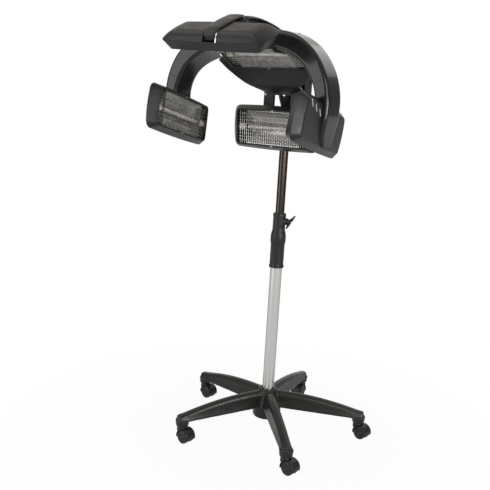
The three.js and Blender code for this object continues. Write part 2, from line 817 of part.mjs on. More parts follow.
function neckBracket() {
  const half = neckPlateWidth / 2;
  const slot = neckSlotWidth / 2;
  const slotTop = socketConeHeight - neckSlotDrop;
  const outline = [
    [-half, neckLegBottom], [-slot, neckLegBottom], [-slot, slotTop], [slot, slotTop],
    [slot, neckLegBottom], [half, neckLegBottom], [half, neckPlateTop - neckPlateCorner],
    [half - neckPlateCorner, neckPlateTop], [neckPlateCorner - half, neckPlateTop],
    [-half, neckPlateTop - neckPlateCorner],
  ];
  const plate = plateY(shapeOf(outline), neckPlateThickness).translate(0, neckPlateFront, 0);
  const bosses = [-1, 1].map((side) => {
    const x = (side * neckBossSpread) / 2;
    return rod(neckBossRadius, point(x, neckPlateFront + neckPlateThickness / 2, rearLampLevel),
      point(x, bezelDepth / 2 - rearLampForward, rearLampLevel));
  });
  const socketRoom = rod(socketTopRadius + gap, point(0, 0, 0), point(0, 0, socketHeight + overcut), mastRound);
  const lampRoom = lampEnvelope(standardForm, gap).applyMatrix4(rearPlace.matrix);
  return cut(join(plate, ...bosses), socketRoom, lampRoom);
}

function neckRing({ front, back, frontHalf, backHalf }, shrink) {
  const depth = new THREE.Vector2(back[0] - front[0], back[1] - front[1]);
  const inset = (neckEdge + shrink) / depth.length();
  const at = (share, x) => point(x, front[0] + share * depth.x, front[1] + share * depth.y);
  const start = shrink / depth.length();
  const nearHalf = frontHalf - shrink;
  const farHalf = backHalf - shrink;
  return [
    at(start, neckEdge - nearHalf), at(start, nearHalf - neckEdge), at(inset, nearHalf), at(1 - inset, farHalf),
    at(1 - start, farHalf - neckEdge), at(1 - start, neckEdge - farHalf), at(1 - inset, -farHalf),
    at(inset, -nearHalf),
  ];
}

function neckHousing() {
  const body = loft(neckSections.map((section) => neckRing(section, 0)));
  const inside = neckSections.slice(1).map((section) => neckRing(section, neckWall));
  const fall = inside.at(-1).map((vertex) => vertex.clone().sub(point(0, -neckEdge, neckEdge)));
  const crownRoom = lampEnvelope(crownForm, gap).applyMatrix4(crownPlace.matrix);
  return cut(body, loft([...inside, fall]), crownRoom);
}

// Spine: the beam that carries the head, and its cover
const beamCurve = new THREE.CatmullRomCurve3(beamPath.map(([y, z]) => point(0, y, z)), false, 'centripetal');
const beamSteps = 16;
const evenShares = Array.from({ length: beamSteps }, (unused, k) => (k + 1) / beamSteps);
const beamShares = [0, spineStart, ...evenShares];
const hingeY = beamPath[0][0];
const hingeZ = beamPath[0][1];

// A rod on the visor's hinge axis, as far as asked to each side
function hingeRod(radius, half) {
  return rod(radius, point(-half, hingeY, hingeZ), point(half, hingeY, hingeZ));
}

function beamFrame(share) {
  const along = beamCurve.getTangent(share);
  return { centre: beamCurve.getPoint(share), out: point(0, -along.z, along.y) };
}

function beamRing(share, grow = 0) {
  const { centre, out } = beamFrame(share);
  const half = beamWidth / 2 + grow;
  const lift = beamThickness / 2 + grow;
  const corners = [[-half, -lift], [half, -lift], [half, lift], [-half, lift]];
  return corners.map(([x, height]) => centre.clone().addScaledVector(out, height).setX(x));
}

function spineBeam() {
  const strip = loft(beamShares.map((share) => beamRing(share)));
  const half = beamWidth / 2;
  const eye = hingeRod(visorEyeRadius, half);
  const pad = box(point(-half, -socketTopRadius + 2, socketHeight + gap),
    point(half, socketTopRadius - 2, socketHeight + gap + beamThickness));
  const crownBack = crownForm.front + crownForm.back;
  const hangers = [-1, 1].map((side) => {
    const x = (side * hangerSpread) / 2;
    const foot = point(x, crownBack - 2, 0).applyMatrix4(crownPlace.matrix);
    return rod(hangerRadius, foot, point(x, crownBack + hangerLength, 0).applyMatrix4(crownPlace.matrix));
  });
  const pinHole = hingeRod(visorPinRadius + gap, beamWidth);
  const crownRoom = lampEnvelope(crownForm, gap).applyMatrix4(crownPlace.matrix);
  return cut(join(strip, eye, pad, ...hangers), pinHole, crownRoom);
}

// Section of the spine's cover on a point of the beam: a flat underside, low edges and a crowned top
function spineSection({ centre, out }, half, thickness) {
  const under = beamThickness / 2 + gap;
  const edge = under + thickness * spineEdgeShare;
  const shoulder = under + thickness * spineShoulderShare;
  const shoulderHalf = half * spineCrownShare;
  const section = [
    [-half, under], [half, under], [half, edge], [shoulderHalf, shoulder],
    [0, under + thickness], [-shoulderHalf, shoulder], [-half, edge],
  ];
  return section.map(([x, lift]) => centre.clone().addScaledVector(out, lift).setX(x));
}

// The cover runs from a nose between the visor's lugs back to the head's rear, clear of the hinge's eyes
function spineCover() {
  const nose = beamFrame(0);
  const tip = { centre: nose.centre.clone().add(point(0, -noseReach, 0)), out: nose.out };
  const rings = [tip, nose].map((station) => spineSection(station, noseWidth / 2, spineThickness));
  beamShares.filter((share) => share >= spineStart && share <= spineEnd).forEach((share) => {
    const back = (share - spineStart) / (spineEnd - spineStart);
    const half = THREE.MathUtils.lerp(spineFrontWidth, spineRearWidth, back) / 2;
    rings.push(spineSection(beamFrame(share), half, spineThickness));
  });
  const eyeRoom = hingeRod(visorEyeRadius + runningGap, beamWidth);
  return cut(loft(rings), eyeRoom);
}

// Arms. Angles run up from the tip's level round the middle of the arm's bend.
const armRootTop = armCentreZ + armOuterRise;
const armRootBottom = armCentreZ + armInnerRise;
const armHingeZ = armRootTop - knuckleRadius - 1;
const armPinMiddle = (bridgeFront + bridgeRear) / 2;

// Middle, outward direction and depth of the arm at an angle
function armStation(side, angle) {
  const across = side * Math.cos(radians(angle));
  const up = Math.sin(radians(angle));
  const inner = point(side * armCentreX + across * armInnerReach, 0, armCentreZ + up * armInnerRise);
  const outer = point(side * armCentreX + across * armOuterReach, 0, armCentreZ + up * armOuterRise);
  const away = outer.clone().sub(inner);
  const depth = away.length();
  return { middle: inner.add(outer).multiplyScalar(0.5), away: away.normalize(), depth };
}

function armSection(side, angle) {
  const { middle, away, depth } = armStation(side, angle);
  const spread = THREE.MathUtils.clamp((armSpreadFrom - angle) / (armSpreadFrom - armSpreadTo), 0, 1);
  const front = THREE.MathUtils.lerp(bridgeFront, armTipFront, spread);
  const rear = THREE.MathUtils.lerp(armRootRear, armTipRear, spread);
  middle.y = (front + rear) / 2;
  const slant = armSlant * Math.sin(radians(angle)) ** 2;
  const outline = bowedOutline(depth, rear - front, 0, 0, armCorner);
  return outline.map(([out, across]) => {
    const inwards = 0.5 - out / depth;
    const lean = slant * inwards * (across / (rear - front)) * 2;
    return middle.clone().addScaledVector(away, out - lean).addScaledVector(axisY, across);
  });
}

function knuckle(side, radius, from, to) {
  return rod(radius, point(side * armCentreX, from, armHingeZ), point(side * armCentreX, to, armHingeZ));
}

const knuckleFront = armPinMiddle - knuckleLength / 2;
const knuckleRear = armPinMiddle + knuckleLength / 2;

function armPinHole(side) {
  return knuckle(side, armPinRadius + gap, bridgeFront - overcut, bridgeRear + overcut);
}

function swivelRod(side, radius, length) {
  const { middle, away } = armStation(side, seamAngle);
  middle.y = (armTipFront + armTipRear) / 2;
  const up = point(-away.z * side, 0, away.x * side);
  return rod(radius, middle.clone().addScaledVector(up, -2), middle.clone().addScaledVector(up, length));
}

// Room for the crown lamp's end, at rest and as the arm swings outwards past it
function crownRooms(side) {
  return Array.from({ length: armSwingSteps + 1 }, (unused, k) => lampEnvelope(crownForm, crownClearance)
    .applyMatrix4(crownPlace.matrix)
    .translate(-side * armCentreX, 0, -armHingeZ)
    .rotateY(side * radians(armSwing * k / armSwingSteps))
    .translate(side * armCentreX, 0, armHingeZ));
}

function sideArm(side) {
  const steps = 10;
  const rings = Array.from({ length: steps + 1 }, (unused, k) => {
    const angle = THREE.MathUtils.lerp(90, seamAngle, k / steps);
    const inside = armCentreX + gap;
    return armSection(side, angle).map((vertex) => vertex.setX(side * Math.max(side * vertex.x, inside)));
  });
  const ownKnuckle = knuckle(side, knuckleRadius, knuckleFront, knuckleRear);
  const frontRoom = knuckle(side, knuckleRadius + runningGap, bridgeFront - overcut, knuckleFront);
  const rearRoom = knuckle(side, knuckleRadius + runningGap, knuckleRear, bridgeRear + overcut);
  const swivelRoom = swivelRod(side, swivelRadius + runningGap, swivelLength + overcut);
  const body = cut(loft(rings), frontRoom, rearRoom, swivelRoom, ...crownRooms(side));
  return cut(join(body, ownKnuckle), armPinHole(side));
}

function armEnd(side) {
  const rings = [seamAngle - seamGapAngle, seamAngle / 2, 0].map((angle) => armSection(side, angle));
  const last = rings.at(-1);
  const middleY = (armTipFront + armTipRear) / 2;
  armEndStops.forEach(([fall, taper, width]) => {
    rings.push(last.map((vertex) => point(vertex.x - side * taper * armEndTaper,
      middleY + width * (vertex.y - middleY), vertex.z - fall * armEndDrop)));
  });
  const lampRoom = lampEnvelope(standardForm, gap).applyMatrix4(sideLampPlace(side).matrix);
  return cut(join(loft(rings), swivelRod(side, swivelRadius, swivelLength)), lampRoom);
}

// One section of the bridge: the underside leans as far as asked from front to rear
function bridgeSection(x, bottom, lean, top) {
  return [
    point(x, bridgeFront, bottom + lean), point(x, bridgeRear, bottom - lean),
    point(x, bridgeRear, top - bridgeEdge),
    point(x, bridgeRear - bridgeEdge, top), point(x, bridgeFront + bridgeEdge, top),
    point(x, bridgeFront, top - bridgeEdge),
  ];
}

function armBridge() {
  const end = armCentreX - gap;
  const top = Math.max(...beamPath.map(([, z]) => z)) - beamThickness / 2;
  const endTop = armRootTop - bridgeEndDrop;
  const flat = beamWidth / 2 + bridgeEdge;
  const half = [
    bridgeSection(end, armRootBottom, armSlant, endTop),
    bridgeSection(end - bridgeHaunch, bridgeWaist, 0, (top + endTop) / 2 + bridgeEdge),
    bridgeSection(flat, bridgeWaist, 0, top),
  ];
  const mirrored = half.map((ring) => ring.map((vertex) => vertex.clone().setX(-vertex.x))).reverse();
  const block = loft([...half, ...mirrored]);
  const knuckles = [];
  const rooms = [];
  [-1, 1].forEach((side) => {
    knuckles.push(knuckle(side, knuckleRadius, bridgeFront, knuckleFront - runningGap));
    knuckles.push(knuckle(side, knuckleRadius, knuckleRear + runningGap, bridgeRear));
    rooms.push(knuckle(side, knuckleRadius + 2 * runningGap, knuckleFront - runningGap,
      knuckleRear + runningGap));
    rooms.push(armPinHole(side));
  });
  const beamRoom = loft(beamShares.map((share) => beamRing(share, gap)));
  return cut(join(block, ...knuckles), ...rooms, beamRoom);
}

// Room for the strap's foot in the visor's front edge, smaller all round by a clearance
function visorNotch(clear) {
  const half = notchWidth / 2 - clear;
  const edge = visorForm.fullHeight / 2;
  return box(point(-half, visorForm.front - lampWall, edge - notchDepth + clear),
    point(half, visorForm.front + visorForm.back + lampWall, edge + lampWall));
}

// Visor shell with two lugs that reach the hinge pin, and the strap over its back
function visorShell() {
  const shell = cut(lampShell(visorForm), visorNotch(0)).applyMatrix4(visorPlace.matrix);
  const start = beamWidth / 2 + runningGap;
  const rearSide = visorBackSideInset / 2 + overcut - visorForm.fullHeight / 2;
  const rearEdge = point(0, visorForm.front + visorForm.back / 2, rearSide).applyMatrix4(visorPlace.matrix);
  const lugs = [-1, 1].map((side) => {
    const near = side * start;
    const far = side * (start + visorLugThickness);
    const eye = rod(visorEyeRadius, point(near, hingeY, hingeZ), point(far, hingeY, hingeZ));
    const slope = new THREE.Vector2(rearEdge.y - hingeY, rearEdge.z - hingeZ);
    const length = slope.length();
    const web = box(point(Math.min(near, far), 0, -visorEyeRadius),
      point(Math.max(near, far), length, visorEyeRadius));
    web.rotateX(slope.angle()).translate(0, hingeY, hingeZ);
    return join(eye, web);
  });
  const pinHole = hingeRod(visorPinRadius + gap, 2 * beamWidth);
  return cut(join(shell, ...lugs), pinHole);
}

// Centre line of the strap, from its foot in the notch up over the visor's back to its end above the hinge
function strapLine() {
  const back = visorForm.front + visorForm.back;
  const foot = visorForm.fullHeight / 2 - notchDepth + strapThickness;
  const brow = visorForm.backHeight / 2;
  const lift = gap + strapThickness / 2;
  const end = point(0, hingeY - strapEndRadius * Math.sin(radians(strapEndAngle)),
    hingeZ + strapEndRadius * Math.cos(radians(strapEndAngle)));
  return new THREE.CatmullRomCurve3([
    point(0, visorForm.front + lift, foot), point(0, back - strapThickness, foot), point(0, back + lift, brow),
    point(0, back + strapRise, 0), point(0, back + strapRise, -brow),
    end.applyMatrix4(visorPlace.matrix.clone().invert()).setX(0),
  ], false, 'centripetal');
}

function visorStrap() {
  const line = strapLine();
  const steps = 14;
  const rings = Array.from({ length: steps + 1 }, (unused, k) => {
    const share = k / steps;
    const ahead = line.getTangent(share);
    const out = point(0, -ahead.z, ahead.y);
    const half = THREE.MathUtils.lerp(strapFootWidth, strapRearWidth, share) / 2;
    const lift = strapThickness / 2;
    const corners = [
      [-half, -lift], [half, -lift], [half, 0], [half - lift, lift], [lift - half, lift], [-half, 0],
    ];
    return corners.map(([x, height]) => line.getPoint(share).addScaledVector(out, height).setX(x));
  });
  return cut(loft(rings), cut(lampEnvelope(visorForm, gap), visorNotch(gap)));
}

// Control box on the beam's rear, open towards the beam
const controlFront = beamPath.at(-1)[0] + beamThickness / 2 + gap;
const controlBack = controlFront + controlDepth;
const controlMiddle = socketHeight - controlDrop + controlHeight / 2;

function controlOutline(shrink) {
  return bowedOutline(controlWidth - 2 * shrink, controlHeight - 2 * shrink, 0, 0, controlCorner - shrink);
}

function controlBox() {
  const shell = loft([
    ringAtY(controlOutline(controlWall), controlBack - controlWall),
    ringAtY(controlOutline(controlWall), controlFront),
    ringAtY(controlOutline(0), controlFront),
    ringAtY(controlOutline(0), controlBack - controlCorner),
    ringAtY(controlOutline(controlWall), controlBack),
  ]).translate(0, 0, controlMiddle);
  const knobLevel = controlMiddle + controlsLevel;
  const spindleHole = rod(knobSpindleRadius + gap, point(knobOffset, controlFront, knobLevel),
    point(knobOffset, controlBack + overcut, knobLevel));
  const switchHole = controlBlock(switchOffset, controlsLevel, switchWidth + 2 * runningGap,
    switchHeight + 2 * runningGap, controlBack - 2 * controlWall, controlBack + overcut);
  const inletHole = controlBlock(0, inletLevel, inletWidth + 2 * gap, inletHeight + 2 * gap,
    controlBack - 2 * controlWall, controlBack + overcut);
  const beamRoom = box(point(-beamWidth / 2 - gap, controlFront - beamThickness, controlMiddle - controlHeight),
    point(beamWidth / 2 + gap, controlFront, controlMiddle + controlHeight));
  const socketRoom = rod(socketTopRadius + gap, point(0, 0, 0), point(0, 0, socketHeight + gap), mastRound);
  return cut(shell, spindleHole, switchHole, inletHole, beamRoom, socketRoom);
}

function controlBlock(x, level, width, height, from, to) {
  const middle = controlMiddle + level;
  return box(point(x - width / 2, from, middle - height / 2), point(x + width / 2, to, middle + height / 2));
}

function timerKnob() {
  const level = controlMiddle + controlsLevel;
  const face = controlBack + runningGap;
  const side = knobProfile.map(([radius, height]) => [knobRadius * radius, knobHeight * height]);
  const grip = turned([[0, 0], ...side, [0, knobHeight]])
    .rotateX(-Math.PI / 2).translate(knobOffset, face, level);
  const spindle = rod(knobSpindleRadius, point(knobOffset, controlBack - 3 * controlWall, level),
    point(knobOffset, face + overcut, level));
  const halfPointer = knobPointerWidth / 2;
  const pointer = box(point(knobOffset - halfPointer, face + knobHeight - halfPointer, level),
    point(knobOffset + halfPointer, face + knobHeight + halfPointer, level + knobRadius * knobPointerShare));
  return join(grip, spindle, pointer);
}

function powerSwitch() {
  const half = switchHeight / 2;
  const face = controlBack + switchProud;
  const rocker = shapeOf([
    [face - switchDepth, -half * switchFootShare], [face, -half], [face - switchProud, 0], [face, half],
    [face - switchDepth, half * switchFootShare],
  ]);
  return plateX(rocker, switchWidth).translate(switchOffset, 0, controlMiddle + controlsLevel);
}

function powerInlet() {
  const flange = controlBlock(0, inletLevel, inletWidth + 2 * inletFlange, inletHeight + 2 * inletFlange,
    controlBack + gap, controlBack + gap + inletFlange);
  const body = controlBlock(0, inletLevel, inletWidth, inletHeight, controlBack - inletDepth,
    controlBack + gap + inletFlange);
  const recess = controlBlock(0, inletLevel, inletWidth - 2 * inletFlange, inletHeight - 2 * inletFlange,
    controlBack - inletDepth + inletFlange, controlBack + gap + inletFlange + overcut);
  return cut(join(flange, body), recess);
}

// Side lamp shell with its louvres, in the half of its back that is nearer the front
function sideShell(side) {
  const back = standardForm.front + standardForm.back;
  const slots = Array.from({ length: louvreCount }, (unused, k) => {
    const slot = box(point(-louvreLength / 2, back - 2 * lampWall, -louvreWidth / 2),
      point(louvreLength / 2, back + overcut, louvreWidth / 2));
    slot.rotateY(-side * radians(louvreSlant));
    const along = (k - (louvreCount - 1) / 2) * louvrePitch;
    return slot.translate(side * (louvreForward + along), 0, louvreRise);
  });
  return cut(lampShell(standardForm), ...slots);
}

// The stand
const machine = new THREE.Group();
machine.add(piece('star_base', starBase(), 'nylon'));
casterAngles.forEach((angle, k) => {
  const caster = new THREE.Group();
  caster.position.copy(outwards(angle, stemCircleRadius));
  caster.rotation.z = radians(casterTrails[k]);
  caster.add(piece(`caster_hood_${k + 1}`, casterHood(), 'nylon'));
  caster.add(piece(`caster_wheels_${k + 1}`, casterWheels(), 'nylon'));
  machine.add(caster);
});
const lowerTube = tubePiece(lowerTubeRadius, lowerTubeWall, hubBottom + hubFloor + gap, lowerTubeTop);
machine.add(piece('lower_tube', lowerTube, 'chrome'));
machine.add(piece('clamp_collar', clampCollar(), 'satinPlastic'));
machine.add(piece('clamp_lever', clampLever(), 'satinPlastic'));
const upperTube = tubePiece(upperTubeRadius, upperTubeWall, upperTubeBottom, mastTop + tubeInSocket);
machine.add(piece('upper_tube', upperTube, 'darkChrome'));
machine.add(piece('guide_bush', guideBush(), 'nylon'));

// The head, from the foot of its socket
const head = new THREE.Group();
head.position.z = mastTop;
head.add(piece('mast_socket', mastSocket(), 'satinPlastic'));
head.add(piece('neck_bracket', neckBracket(), 'satinPlastic'));
head.add(piece('neck_housing', neckHousing(), 'satinPlastic'));
head.add(piece('spine_beam', spineBeam(), 'steel'));
head.add(piece('spine_cover', spineCover(), 'satinPlastic'));
head.add(piece('arm_bridge', armBridge(), 'glossPlastic'));
[['left', -1], ['right', 1]].forEach(([name, side]) => {
  head.add(piece(`${name}_arm`, sideArm(side), 'glossPlastic'));
  head.add(piece(`${name}_arm_pin`, knuckle(side, armPinRadius, bridgeFront, bridgeRear), 'steel'));
  head.add(piece(`${name}_arm_end`, armEnd(side), 'glossPlastic'));
  head.add(sideLampPlace(side).add(...lampPieces(`${name}_lamp`, standardForm, sideShell(side))));
});
head.add(rearPlace.add(...lampPieces('rear_lamp', standardForm)));
head.add(crownPlace.add(...lampPieces('crown_lamp', crownForm)));
const [, ...visorRest] = lampPieces('visor', visorForm);
head.add(piece('visor_shell', visorShell(), 'satinPlastic'));
head.add(visorPlace.add(...visorRest, piece('visor_strap', visorStrap(), 'glossPlastic')));
const visorPinHalf = beamWidth / 2 + runningGap + visorLugThickness;
head.add(piece('visor_pin', hingeRod(visorPinRadius, visorPinHalf), 'steel'));
head.add(piece('control_box', controlBox(), 'satinPlastic'));
head.add(piece('timer_knob', timerKnob(), 'glossPlastic'));
head.add(piece('power_switch', powerSwitch(), 'glossPlastic'));
head.add(piece('power_inlet', powerInlet(), 'nylon'));
machine.add(head);

// Origin on the floor, at the middle of the footprint
const reach = new THREE.Box3().setFromObject(machine, true);
const middle = reach.getCenter(new THREE.Vector3());
machine.position.set(-middle.x, -middle.y, -reach.min.z);

export default machine;
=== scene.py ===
"""A five-lamp infrared hair colour processor on a rolling stand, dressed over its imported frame."""
import json
import math

import bmesh
import bpy
from mathutils import Matrix, Vector


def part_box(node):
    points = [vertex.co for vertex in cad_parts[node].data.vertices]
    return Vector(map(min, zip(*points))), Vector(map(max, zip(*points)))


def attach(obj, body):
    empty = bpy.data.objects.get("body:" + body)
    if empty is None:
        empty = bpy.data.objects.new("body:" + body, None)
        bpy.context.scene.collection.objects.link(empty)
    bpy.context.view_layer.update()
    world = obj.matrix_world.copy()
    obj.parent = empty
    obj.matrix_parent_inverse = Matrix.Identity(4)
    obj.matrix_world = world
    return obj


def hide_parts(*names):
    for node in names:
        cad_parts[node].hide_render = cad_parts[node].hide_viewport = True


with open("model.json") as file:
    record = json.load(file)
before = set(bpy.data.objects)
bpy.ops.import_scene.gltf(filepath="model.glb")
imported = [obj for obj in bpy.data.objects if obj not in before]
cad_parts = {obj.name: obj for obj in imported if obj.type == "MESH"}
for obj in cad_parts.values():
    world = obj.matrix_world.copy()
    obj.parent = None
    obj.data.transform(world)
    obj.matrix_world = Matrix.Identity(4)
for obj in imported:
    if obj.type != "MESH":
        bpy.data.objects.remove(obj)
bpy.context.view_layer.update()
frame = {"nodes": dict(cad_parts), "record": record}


def turn(axis, degrees):
    return Matrix.Rotation(math.radians(degrees), 4, axis)


def shift(x=0, y=0, z=0):
    return Matrix.Translation((x, y, z))


# Every size is in millimetres. The sizes that the part's source also has keep its values.
# Shapes that cut or join others reach a little past the faces that they meet.
mm = 0.001
gap = 0.3
running_gap = 0.5
past = 1
fine_sides = 96
hands = {"left": -1, "right": 1}

# Places on the frame: the mast's axis, and the foot of the head's socket
mast_top = 971.5
tube_low, tube_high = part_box("lower_tube")
mast_axis = (tube_low + tube_high) / 2 / mm
head_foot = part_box("mast_socket")[0].z / mm
head_place = Matrix.Scale(mm, 4) @ shift(mast_axis.x, mast_axis.y, head_foot)
mast_place = head_place @ shift(z=-mast_top)


# Meshes
def even_shares(steps):
    return [k / steps for k in range(steps + 1)]


def skin(rings, closed=False):
    """Faces through a row of rings. A closed row joins its last ring to its first."""
    mesh = bmesh.new()
    rows = [[mesh.verts.new(point) for point in ring] for ring in rings]
    pairs = list(zip(rows, rows[1:]))
    if closed:
        pairs.append((rows[-1], rows[0]))
    for near, far in pairs:
        for k, vert in enumerate(near):
            after = (k + 1) % len(near)
            mesh.faces.new((vert, near[after], far[after], far[k]))
    if not closed:
        mesh.faces.new(rows[0][::-1])
        mesh.faces.new(rows[-1])
    bmesh.ops.recalc_face_normals(mesh, faces=mesh.faces)
    return mesh


def turned(profile, sides=72, closed=False):
    """A piece turned round Z, through pairs of radius and height."""
    angles = [2 * math.pi * k / sides for k in range(sides)]
    rings = [[(r * math.cos(a), r * math.sin(a), z) for a in angles] for r, z in profile]
    return skin(rings, closed)


def placed(mesh, matrix):
    bmesh.ops.transform(mesh, matrix=matrix, verts=mesh.verts)
    return mesh


def ring_at(pairs, y):
    return [(x, y, z) for x, z in pairs]


def extruded(outline, start, end):
    """A flat outline in X and Z, drawn out along Y."""
    return skin([ring_at(outline, start), ring_at(outline, end)])


def drawn_across(profile, start, end):
    """A flat profile in Y and Z, drawn out along X."""
    return skin([[(x, y, z) for y, z in profile] for x in (start, end)])


def block(low, high):
    """A plain box between two corners, to cut or build with."""
    low, high = Vector(low), Vector(high)
    mesh = bmesh.new()
    bmesh.ops.create_cube(mesh, size=1)
    return placed(mesh, shift(*(low + high) / 2) @ Matrix.Diagonal((*(high - low), 1)))


def slab(width, height, front, back):
    """A box round the Y axis, from one depth to another."""
    return block((-width / 2, front, -height / 2), (width / 2, back, height / 2))


def along(start, end):
    """The matrix that stands the Z axis on a line from start to end."""
    way = Vector(end) - Vector(start)
    return shift(*start) @ Vector((0, 0, 1)).rotation_difference(way).to_matrix().to_4x4()


def rod(radius, start, end, edge=0.4, sides=32):
    length = (Vector(end) - Vector(start)).length
    profile = [(radius - edge, 0), (radius, edge), (radius, length - edge), (radius - edge, length)]
    return placed(turned(profile, sides), along(start, end))


def x_rod(radius, start, end, **form):
    return rod(radius, (start, 0, 0), (end, 0, 0), **form)


def wire(points, radius, sides=6):
    """A round wire through a row of points."""
    points = [Vector(point) for point in points]
    turns = [2 * math.pi * k / sides for k in range(sides)]
    rings = []
    side = None
    for k, point in enumerate(points):
        way = (points[min(k + 1, len(points) - 1)] - points[max(k - 1, 0)]).normalized()
        if side is None:
            side = way.orthogonal().normalized()
        side = (side - way * side.dot(way)).normalized()
        other = way.cross(side)
        rings.append([point + radius * (math.cos(a) * side + math.sin(a) * other) for a in turns])
    return skin(rings)


def settle(thing, **values):
    """Sets several of a thing's properties."""
    for name, value in values.items():
        setattr(thing, name, value)
    return thing


def new_object(name, data):
    made = bpy.data.objects.new(name, data)
    bpy.context.scene.collection.objects.link(made)
    return made


def loose_object(mesh, name="loose"):
    data = bpy.data.meshes.new(name)
    mesh.to_mesh(data)
    mesh.free()
    return new_object(name, data)


def modify(target, kind, **settings):
    settle(target.modifiers.new(kind.lower(), kind), **settings)


def together(meshes):
    """Several meshes in one, each as it was."""
    whole = bmesh.new()
    for mesh in meshes:
        data = bpy.data.meshes.new("part")
        mesh.to_mesh(data)
        mesh.free()
        whole.from_mesh(data)
        bpy.data.meshes.remove(data)
    return whole


def after_modifiers(target, helpers=()):
    """The mesh that an object's modifiers give. The object and its helpers are removed."""
    evaluated = target.evaluated_get(bpy.context.evaluated_depsgraph_get())
    result = bmesh.new()
    result.from_mesh(evaluated.to_mesh())
    evaluated.to_mesh_clear()
    for used in (target, *helpers):
        data = used.data
        bpy.data.objects.remove(used)
        bpy.data.meshes.remove(data)
    return result


def boolean(operation, mesh, tools):
    target = loose_object(mesh)
    helpers = [loose_object(tool) for tool in tools]
    for helper in helpers:
        modify(target, "BOOLEAN", operation=operation, solver="EXACT", object=helper)
    return after_modifiers(target, helpers)


def cut(mesh, *tools):
    return boolean("DIFFERENCE", mesh, tools)


def joined(mesh, *tools):
    return boolean("UNION", mesh, tools)


def rounded(corners, radius, closed=False, steps=5, longest=0.45):
    """A polyline with its corners turned into soft curves, each over a share of its sides at the longest."""
    corners = [Vector(corner) for corner in corners]
    count = len(corners)
    points = []
    for k, corner in enumerate(corners):
        if not closed and k in (0, count - 1):
            points.append(corner)
            continue
        back = corners[k - 1] - corner
        ahead = corners[(k + 1) % count] - corner
        start = corner + back.normalized() * min(radius, longest * back.length)
        end = corner + ahead.normalized() * min(radius, longest * ahead.length)
        for t in even_shares(steps):
            points.append((1 - t) ** 2 * start + 2 * t * (1 - t) * corner + t ** 2 * end)
    return [tuple(point) for point in points]


def curve_point(points, share):
    """A point on the smooth line through a row of points: nought at its start, one at its end."""
    points = [Vector(point) for point in points]
    last = len(points) - 1
    k = min(int(share * last), last - 1)
    t = share * last - k
    start, end = points[k], points[k + 1]
    before = points[k - 1] if k else 2 * start - end
    after = points[k + 2] if k + 2 <= last else 2 * end - start
    into, over, away = (math.sqrt((b - a).length) for a, b in ((before, start), (start, end), (end, after)))
    leave = ((start - before) / into - (end - before) / (into + over)) * over + end - start
    arrive = ((after - end) / away - (after - start) / (over + away)) * over + end - start
    bend = 3 * (end - start) - 2 * leave - arrive
    twist = 2 * (start - end) + leave + arrive
    return start + leave * t + bend * t ** 2 + twist * t ** 3


def curve_frame(points, share, reach=0.002):
    """A point on a line in the YZ plane, and the way out from the line on its upper side."""
    ahead = curve_point(points, min(share + reach, 1))
    behind = curve_point(points, max(share - reach, 0))
    way = (ahead - behind).normalized()
    return curve_point(points, share), Vector((0, -way.z, way.y))


def mix(a, b, share):
    return a + (b - a) * share


def mix_rings(ring, other, share):
    return [tuple(Vector(a).lerp(Vector(b), share)) for a, b in zip(ring, other)]


def band_ring(centre, out, section, half, base, rise, corner):
    """A section of a curved band. Its shape is given in shares of half its width and of its rise."""
    points = [(across * half, base + up * rise) for across, up in section]
    return [centre + Vector((x, 0, 0)) + lift * out for x, lift in rounded(points, corner, closed=True)]


# Materials: one for each slot of the record, and a few for small pieces
def node_tree(made):
    made.use_nodes = True
    return made.node_tree


def feed(tree, socket, value):
    """Sets a shader node's input to a plain value, or links it to another node's output."""
    if isinstance(value, bpy.types.NodeSocket):
        tree.links.new(value, socket)
    else:
        socket.default_value = value


def add(tree, kind, inputs=None, **settings):
    """A new shader node, with its settings and then its inputs."""
    node = settle(tree.nodes.new(f"ShaderNode{kind}"), **settings)
    for socket, value in (inputs or {}).items():
        feed(tree, node.inputs[socket], value)
    return node


def maths(tree, operation, first, second):
    return add(tree, "Math", {0: first, 1: second}, operation=operation).outputs["Value"]


def dot_product(tree, first, second):
    return add(tree, "VectorMath", {0: first, 1: second}, operation="DOT_PRODUCT").outputs["Value"]


def mixed(tree, share, first, second):
    """A number or a colour between two others."""
    kind = "RGBA" if isinstance(second, tuple) else "FLOAT"
    first, second = ((*end, 1) if isinstance(end, tuple) else end for end in (first, second))
    return add(tree, "Mix", {"Factor": share, "A": first, "B": second}, data_type=kind).outputs["Result"]


def noise_value(tree, scale, detail, stretch=(1, 1, 1)):
    """A procedural noise on the piece's own coordinates, at scale cells to the metre."""
    mapping = add(tree, "Mapping", {"Vector": add(tree, "TexCoord").outputs["Object"], "Scale": stretch})
    noise = add(tree, "TexNoise", {"Vector": mapping.outputs["Vector"], "Scale": scale, "Detail": detail})
    return noise.outputs["Fac"]


def ranged(tree, value, low, high, from_low=0.3, from_high=0.7):
    """A value moved from one range to another."""
    limits = {"From Min": from_low, "From Max": from_high, "To Min": low, "To Max": high}
    return add(tree, "MapRange", {"Value": value, **limits}).outputs["Result"]


# Edges are lightened in colour as a painted highlight: this wide, over this range of flatness
edge_highlight_width = 1.2
highlight_from, highlight_to = 0.80, 0.99
smudge_cells = 60
plain = (1, 1, 1)
drawn_upright = (1, 1, 0.03)
# Long light and dark streaks along the reflector: painted reflection bands
reflection_streaks = (0.08, 0.08, 1)


def edge_highlight_mask(tree):
    """One on edges, where the colour is lightened as a painted highlight; nothing on flat faces."""
    bevel = add(tree, "Bevel", {"Radius": edge_highlight_width * mm}, samples=4)
    geometry = add(tree, "NewGeometry")
    flatness = dot_product(tree, bevel.outputs["Normal"], geometry.outputs["Normal"])
    return ranged(tree, flatness, 1, 0, highlight_from, highlight_to)


